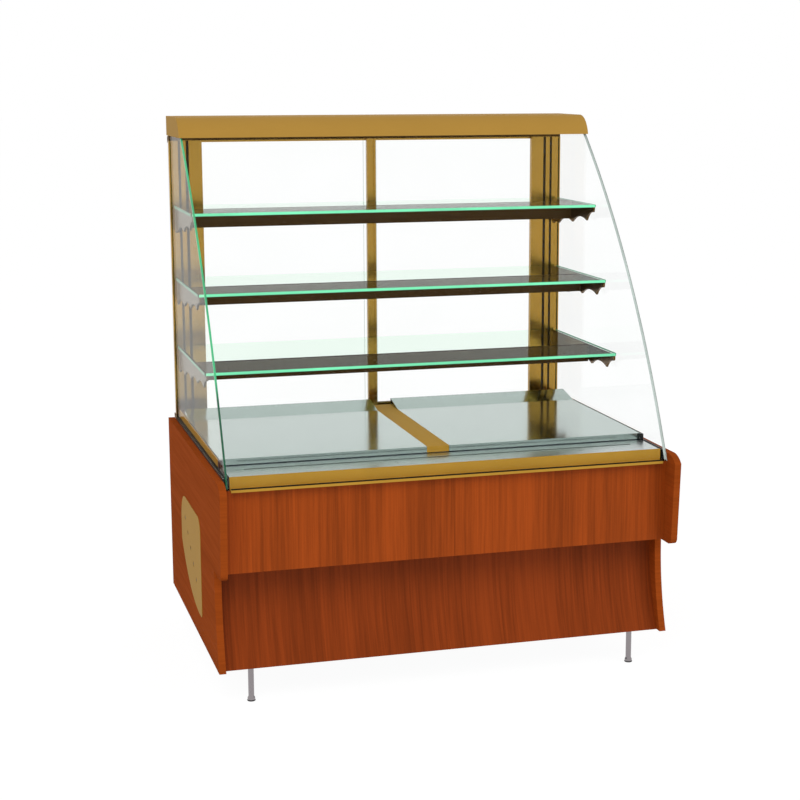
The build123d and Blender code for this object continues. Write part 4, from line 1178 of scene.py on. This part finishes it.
    def print_mark(self, name: str, text: str, place: Point) -> None:
        """Small printed figure that faces the back.

        Args:
            name: Name of the piece.
            text: The figure.
            place: Its middle in the case's measures.
        """
        data = bpy.data.curves.new(name, "FONT")
        data.body = text
        data.size = self.digit_height * MM * self.font_share
        data.extrude = self.digit_rise * MM
        data.align_x = data.align_y = "CENTER"
        mesh = harvest(bpy.data.objects.new(name, data))
        turn = Matrix.Rotation(math.pi, 4, "Z") @ Matrix.Rotation(math.pi / 2, 4, "X")
        mesh.transform(Matrix.Translation(spot(*place)) @ turn)
        shape = Shape()
        shape.mesh.from_mesh(mesh)
        bmesh.ops.remove_doubles(shape.mesh, verts=shape.mesh.verts, dist=WELD)
        bpy.data.meshes.remove(mesh)
        self.shop.piece(name, shape, PRINT_BLACK, "black")

    def pilot_lamp(self) -> None:
        """Amber lamp beside the switch and above it."""
        _, depth, height = self.dial_middle
        across, rise = self.lamp_offset
        shape, start = Shape(), spot(self.switch_x + across, depth, height + rise)
        shape.turned(self.lamp_profile, start, Vector((0.0, 1.0, 0.0)), self.lamp_sides)
        self.shop.piece("pilot_lamp", shape, PILOT_AMBER, "rocker_red", smooth=True)


@dataclass
class Deck:
    """Trays, divider, edges and ledges of the display deck, with strips of painted shade in its gaps, under
    its slot and at the glass's foot.
    """

    shop: Workshop
    deck_height: float = 562.0
    tray_rear: float = 215.0
    tray_front: float = 760.0
    tray_in: float = 32.5
    tray_out: float = 612.5
    ledge_top: float = 543.0
    # Strips of painted shade in the gaps at the trays' fronts and outer sides.
    front_shade_short: float = 8.0
    front_shade_span: Span = (0.1, 2.0)
    side_shade_short: float = 3.5
    side_shade_width: float = 2.6
    side_shade_rise: Span = (0.05, 0.9)
    front_soften: float = 0.4
    side_soften: float = 0.3
    slot_depth: float = 812.0
    slot_half: float = 566.0
    # Dark strip of painted shade under the air slot.
    slot_shade_reach: float = 9.0
    slot_shade_drop: Span = (-4.4, -2.2)
    profile_half: float = 612.5
    # Section of the strip of painted shade at the glass's foot.
    foot_shade_outline: tuple[Span, ...] = (
        (914.2, 514.1), (921.8, 514.1), (920.4, 515.2), (915.8, 516.0), (914.2, 516.2),
    )

    def build(self) -> None:
        """Dress the deck and add its strips of painted shade."""
        self.shop.dress(TRAY_STEEL, "tray_left", "tray_right")
        self.shop.dress(LEDGE_STEEL, "front_ledge", "rear_ledge")
        self.shop.dress(GOLD_PROFILE, "deck_edges", "deck_divider", "front_profile")
        self.shop.dress(BLACK_TRIM_AND_SHADE, "end_caps")
        self.tray_shade_strips()
        self.slot_baffle()
        self.glass_foot_bead()

    @staticmethod
    def beyond(start: float, span: Span) -> Span:
        """Limits at two distances from a start."""
        return start + span[0], start + span[1]

    def tray_shade_strips(self) -> None:
        """Painted shade: blue-black strip in the gap along the front and the outer side of each tray."""
        out = self.tray_out
        fronts = self.beyond(self.tray_front, self.front_shade_span)
        tops = self.beyond(self.ledge_top, self.front_shade_span)
        sides = (self.tray_rear, self.tray_front - self.side_shade_short)
        for side, name in ((-1, "left"), (1, "right")):
            shade_strip = Shape()
            across = sorted((side * self.tray_in, side * (out - self.front_shade_short)))
            shade_strip.bar(across, fronts, tops, self.front_soften)
            self.shop.piece(f"tray_front_seal_{name}", shade_strip, BLUE_BLACK_SHADE, "rubber")
            shade_strip = Shape()
            across = sorted((side * out, side * (out + self.side_shade_width)))
            shade_strip.bar(across, sides, self.beyond(self.deck_height, self.side_shade_rise), self.side_soften)
            self.shop.piece(f"tray_side_seal_{name}", shade_strip, BLUE_BLACK_SHADE, "rubber")

    def slot_baffle(self) -> None:
        """Painted shade: dark strip under the air slot."""
        shape, half, reach = Shape(), self.slot_half, self.slot_shade_reach
        depths = self.beyond(self.slot_depth, (-reach, reach))
        shape.bar((-half, half), depths, self.beyond(self.ledge_top, self.slot_shade_drop), self.front_soften)
        self.shop.piece("slot_baffle", shape, BLACK_TRIM_AND_SHADE, "black")

    def glass_foot_bead(self) -> None:
        """Painted shade: dark strip at the foot of the bowed glass. Most of it lies in the glass's own
        thickness.
        """
        shape, half = Shape(), self.profile_half
        shape.prism([spot(-half, *corner) for corner in self.foot_shade_outline], Vector((2 * half * MM, 0.0, 0.0)))
        self.shop.piece("glass_foot_bead", shape, SEAL_RUBBER_AND_SHADE, "rubber")


@dataclass
class Glazing:
    """Bowed front pane, side panes, doors and what holds and seals them."""

    shop: Workshop
    brush_depths: Span = (13.0, 15.4)
    brush_heights: Span = (552.0, 1378.0)
    brush_bands: tuple[Span, ...] = ((-611.0, -603.0), (603.0, 611.0), (-10.0, -4.0), (4.0, 10.0))
    stop_heights: tuple[Span, ...] = ((560.0, 590.0), (1340.0, 1370.0))
    stop_places: tuple[tuple[str, Span, Span, Body], ...] = (
        ("right", (1.8, 5.2), (624.1, 628.0), Body.DOOR_RIGHT),
        ("left", (8.8, 12.2), (-628.0, -624.1), Body.DOOR_LEFT),
    )
    rubber_soften: float = 0.5

    def build(self) -> None:
        """Dress the glass and its channels, and add the brushes and stops."""
        self.shop.dress(PANE_GLASS, "front_pane")
        self.shop.dress(LEFT_GLASS, "side_pane_left")
        self.shop.dress(RIGHT_GLASS, "side_pane_right")
        self.shop.dress(DOOR_GLASS, "door_left", "door_right")
        self.shop.dress(CHROME, "door_ring_left", "door_ring_right")
        self.shop.dress(BLACK_TRIM_AND_SHADE, "side_channels", "head_channels")
        self.shop.dress(SEAL_RUBBER_AND_SHADE, "glass_seal_strip")
        self.brushes()
        self.bumpers()

    def brushes(self) -> None:
        """Brush strips on the backs of the posts that seal the sliding doors."""
        shape = Shape()
        for band in self.brush_bands:
            shape.bar(band, self.brush_depths, self.brush_heights, self.rubber_soften)
        self.shop.piece("door_brushes", shape, BRUSH_PILE, "black")

    def bumpers(self) -> None:
        """Rubber stops on the outer edge of each door."""
        for name, lane, edge, body in self.stop_places:
            shape = Shape()
            for heights in self.stop_heights:
                shape.bar(edge, lane, heights, self.rubber_soften)
            self.shop.piece(f"door_stops_{name}", shape, SEAL_RUBBER_AND_SHADE, "rubber", body)


@dataclass
class Superstructure:
    """Uprights, centre post, beam, tracks, cover and lamp."""

    shop: Workshop
    groove_middles: tuple[float, ...] = (-595.0, -573.75, 573.75, 595.0)
    groove_widths: tuple[float, ...] = (6.6, 8.1, 8.1, 6.6)
    groove_heights: Span = (564.0, 1387.0)
    # Depth and softened edges of the sheets of painted shade at the bottoms of the grooves.
    shade_depths: Span = (28.05, 28.6)
    shade_soften: float = 0.15
    slot_pitch: float = 25.0
    slot_count: int = 32
    slot_size: Point = (15.0, 3.4, 0.35)
    slot_rounding: float = 1.6
    slot_first: float = 590.0
    slot_depth: float = 28.62
    lamp_end: float = 525.5
    lamp_depth: float = 130.0
    lamp_height: float = 1418.0
    cap_profile: tuple[Span, ...] = (
        (0.0, 0.0), (8.3, 0.0), (8.9, 0.6), (8.9, 11.0), (8.3, 11.6), (0.0, 11.6),
    )

    def build(self) -> None:
        """Dress the metalwork over the deck, paint shade into its grooves and cap its lamp."""
        self.shop.dress(POST_GOLD, "upright_left", "upright_right", "centre_post", "sill_track", "head_track")
        self.shop.dress(BEAM_BRONZE, "head_beam")
        self.shop.dress(CANOPY_GOLD, "top_cover")
        self.shop.dress(WHITE_PAINT, "cover_liner", "lamp_housing")
        self.shop.dress(LAMP_WHITE, "lamp_tube")
        self.grooves()
        self.lamp_caps()

    def grooves(self) -> None:
        """Dark sheet of painted shade and a row of bracket slots in each groove of the uprights."""
        shade_sheet = Shape()
        for middle, width in zip(self.groove_middles, self.groove_widths):
            across = (middle - width / 2, middle + width / 2)
            shade_sheet.bar(across, self.shade_depths, self.groove_heights, self.shade_soften)
        self.shop.piece("groove_linings", shade_sheet, GROOVE_SHADE, "post")
        pitch, upright = Vector((0.0, 0.0, self.slot_pitch * MM)), (90.0, 90.0, 0.0)
        for index, middle in enumerate(self.groove_middles):
            start = spot(middle, self.slot_depth, self.slot_first)
            self.shop.tablets(
                f"groove_slots_{index + 1}", start, pitch, self.slot_count, self.slot_size, upright,
                BLACK_TRIM_AND_SHADE, "black", self.slot_rounding,
            )

    def lamp_caps(self) -> None:
        """Metal caps on the ends of the lamp tube."""
        shape = Shape()
        for side in (-1, 1):
            start = spot(side * self.lamp_end, self.lamp_depth, self.lamp_height)
            shape.turned(self.cap_profile, start, Vector((-side, 0.0, 0.0)))
        self.shop.piece("lamp_caps", shape, SCREW_ZINC, "galv", smooth=True)


@dataclass
class Shelves:
    """Three glass shelves with their beams and brackets."""

    shop: Workshop
    levels: tuple[str, ...] = ("low", "middle", "high")

    def build(self) -> None:
        """Dress the shelves, their beams and their brackets."""
        for level in self.levels:
            self.shop.dress(SHELF_GLASS, f"shelf_{level}")
            self.shop.dress(BEAM_PAINT, f"shelf_beam_{level}")
            # The brackets take gold darkened into painted shade.
            self.shop.dress(BRACKET_SHADE, f"brackets_{level}")


@dataclass
class Studio:
    """Pale floor, plain light and the camera."""

    camera_place: Point = (-1.3377, -4.7865, 1.6837)
    camera_down: float = 10.61
    camera_turn: float = 16.63
    lens_mm: float = 77.3
    sensor_mm: float = 36.0
    shift: Span = (-0.0514, -0.0044)
    farthest: float = 200.0
    floor_half: float = 60.0
    floor_grey: float = 0.9
    floor_glow: float = 1.06
    floor_share: float = 0.88
    sky: float = 0.62
    aim: Point = (0.0, 0.0, 0.7)
    lamps: tuple[tuple[str, Point, float, float], ...] = (
        ("key_lamp", (-2.6, -4.2, 4.6), 3.2, 120.0),
        ("fill_lamp", (3.6, -3.4, 3.2), 3.2, 60.0),
    )

    def floor(self) -> None:
        """White floor that keeps the case's shadow."""
        mesh = bmesh.new()
        bmesh.ops.create_grid(mesh, x_segments=1, y_segments=1, size=self.floor_half)
        data = bpy.data.meshes.new("studio_floor")
        mesh.to_mesh(data)
        mesh.free()
        floor = bpy.data.objects.new("studio_floor", data)
        bpy.context.scene.collection.objects.link(floor)
        nodes = Nodes(bpy.data.materials.new("studio_floor"))
        diffuse = nodes.add("ShaderNodeBsdfDiffuse", {"Color": (*(self.floor_grey,) * 3, 1.0)})
        lit = nodes.add("ShaderNodeEmission", {"Strength": self.floor_glow})
        seen = nodes.rays("Camera", "Glossy", "Transmission")
        nodes.show(nodes.blend(nodes.math("MULTIPLY", seen, self.floor_share), diffuse, lit))
        data.materials.append(nodes.holder)

    def world(self) -> None:
        """Even light from all round, seen as white."""
        bpy.context.scene.world = bpy.data.worlds.new("studio_world")
        nodes = Nodes(bpy.context.scene.world, "ShaderNodeOutputWorld")
        plain, white = (
            nodes.add("ShaderNodeBackground", {"Color": (*EVEN, 1.0), "Strength": strength})
            for strength in (self.sky, 1.0)
        )
        nodes.show(nodes.blend(nodes.rays("Camera", "Glossy", "Transmission"), plain, white))

    def lamp(self, name: str, place: Point, size: float, watts: float) -> None:
        """Square soft lamp that looks at the middle of the case.

        Args:
            name: Name of the lamp.
            place: Where it hangs.
            size: Side of the square in metres.
            watts: Power.
        """
        data = bpy.data.lights.new(name, "AREA")
        data.size = size
        data.energy = watts
        lamp = bpy.data.objects.new(name, data)
        lamp.location = place
        lamp.rotation_euler = (Vector(self.aim) - Vector(place)).to_track_quat("-Z", "Y").to_euler()
        lamp.visible_glossy = lamp.visible_transmission = False
        bpy.context.scene.collection.objects.link(lamp)

    def camera(self) -> None:
        """Camera at the photograph's angle."""
        data = bpy.data.cameras.new("photo_camera")
        data.lens = self.lens_mm
        data.sensor_width = self.sensor_mm
        data.shift_x, data.shift_y = self.shift
        data.clip_end = self.farthest
        camera = bpy.data.objects.new("photo_camera", data)
        camera.location = self.camera_place
        camera.rotation_euler = (math.radians(90 - self.camera_down), 0.0, math.radians(-self.camera_turn))
        bpy.context.scene.collection.objects.link(camera)
        bpy.context.scene.camera = camera

    def build(self) -> None:
        """Set the stage."""
        self.floor()
        self.world()
        for settings in self.lamps:
            self.lamp(*settings)
        self.camera()
        bpy.context.scene.view_settings.view_transform = "Standard"


def main() -> None:
    """Build the case's pieces in order."""
    logging.basicConfig(level=logging.INFO, format="%(message)s")
    shop = Workshop()
    for part in (
        WoodenBase(shop),
        BaseFrame(shop),
        Machinery(shop),
        Deck(shop),
        Glazing(shop),
        Superstructure(shop),
        Shelves(shop),
        Studio(),
    ):
        part.build()
        LOG.info("built %s", type(part).__name__)


if __name__ == "__main__":
    main()
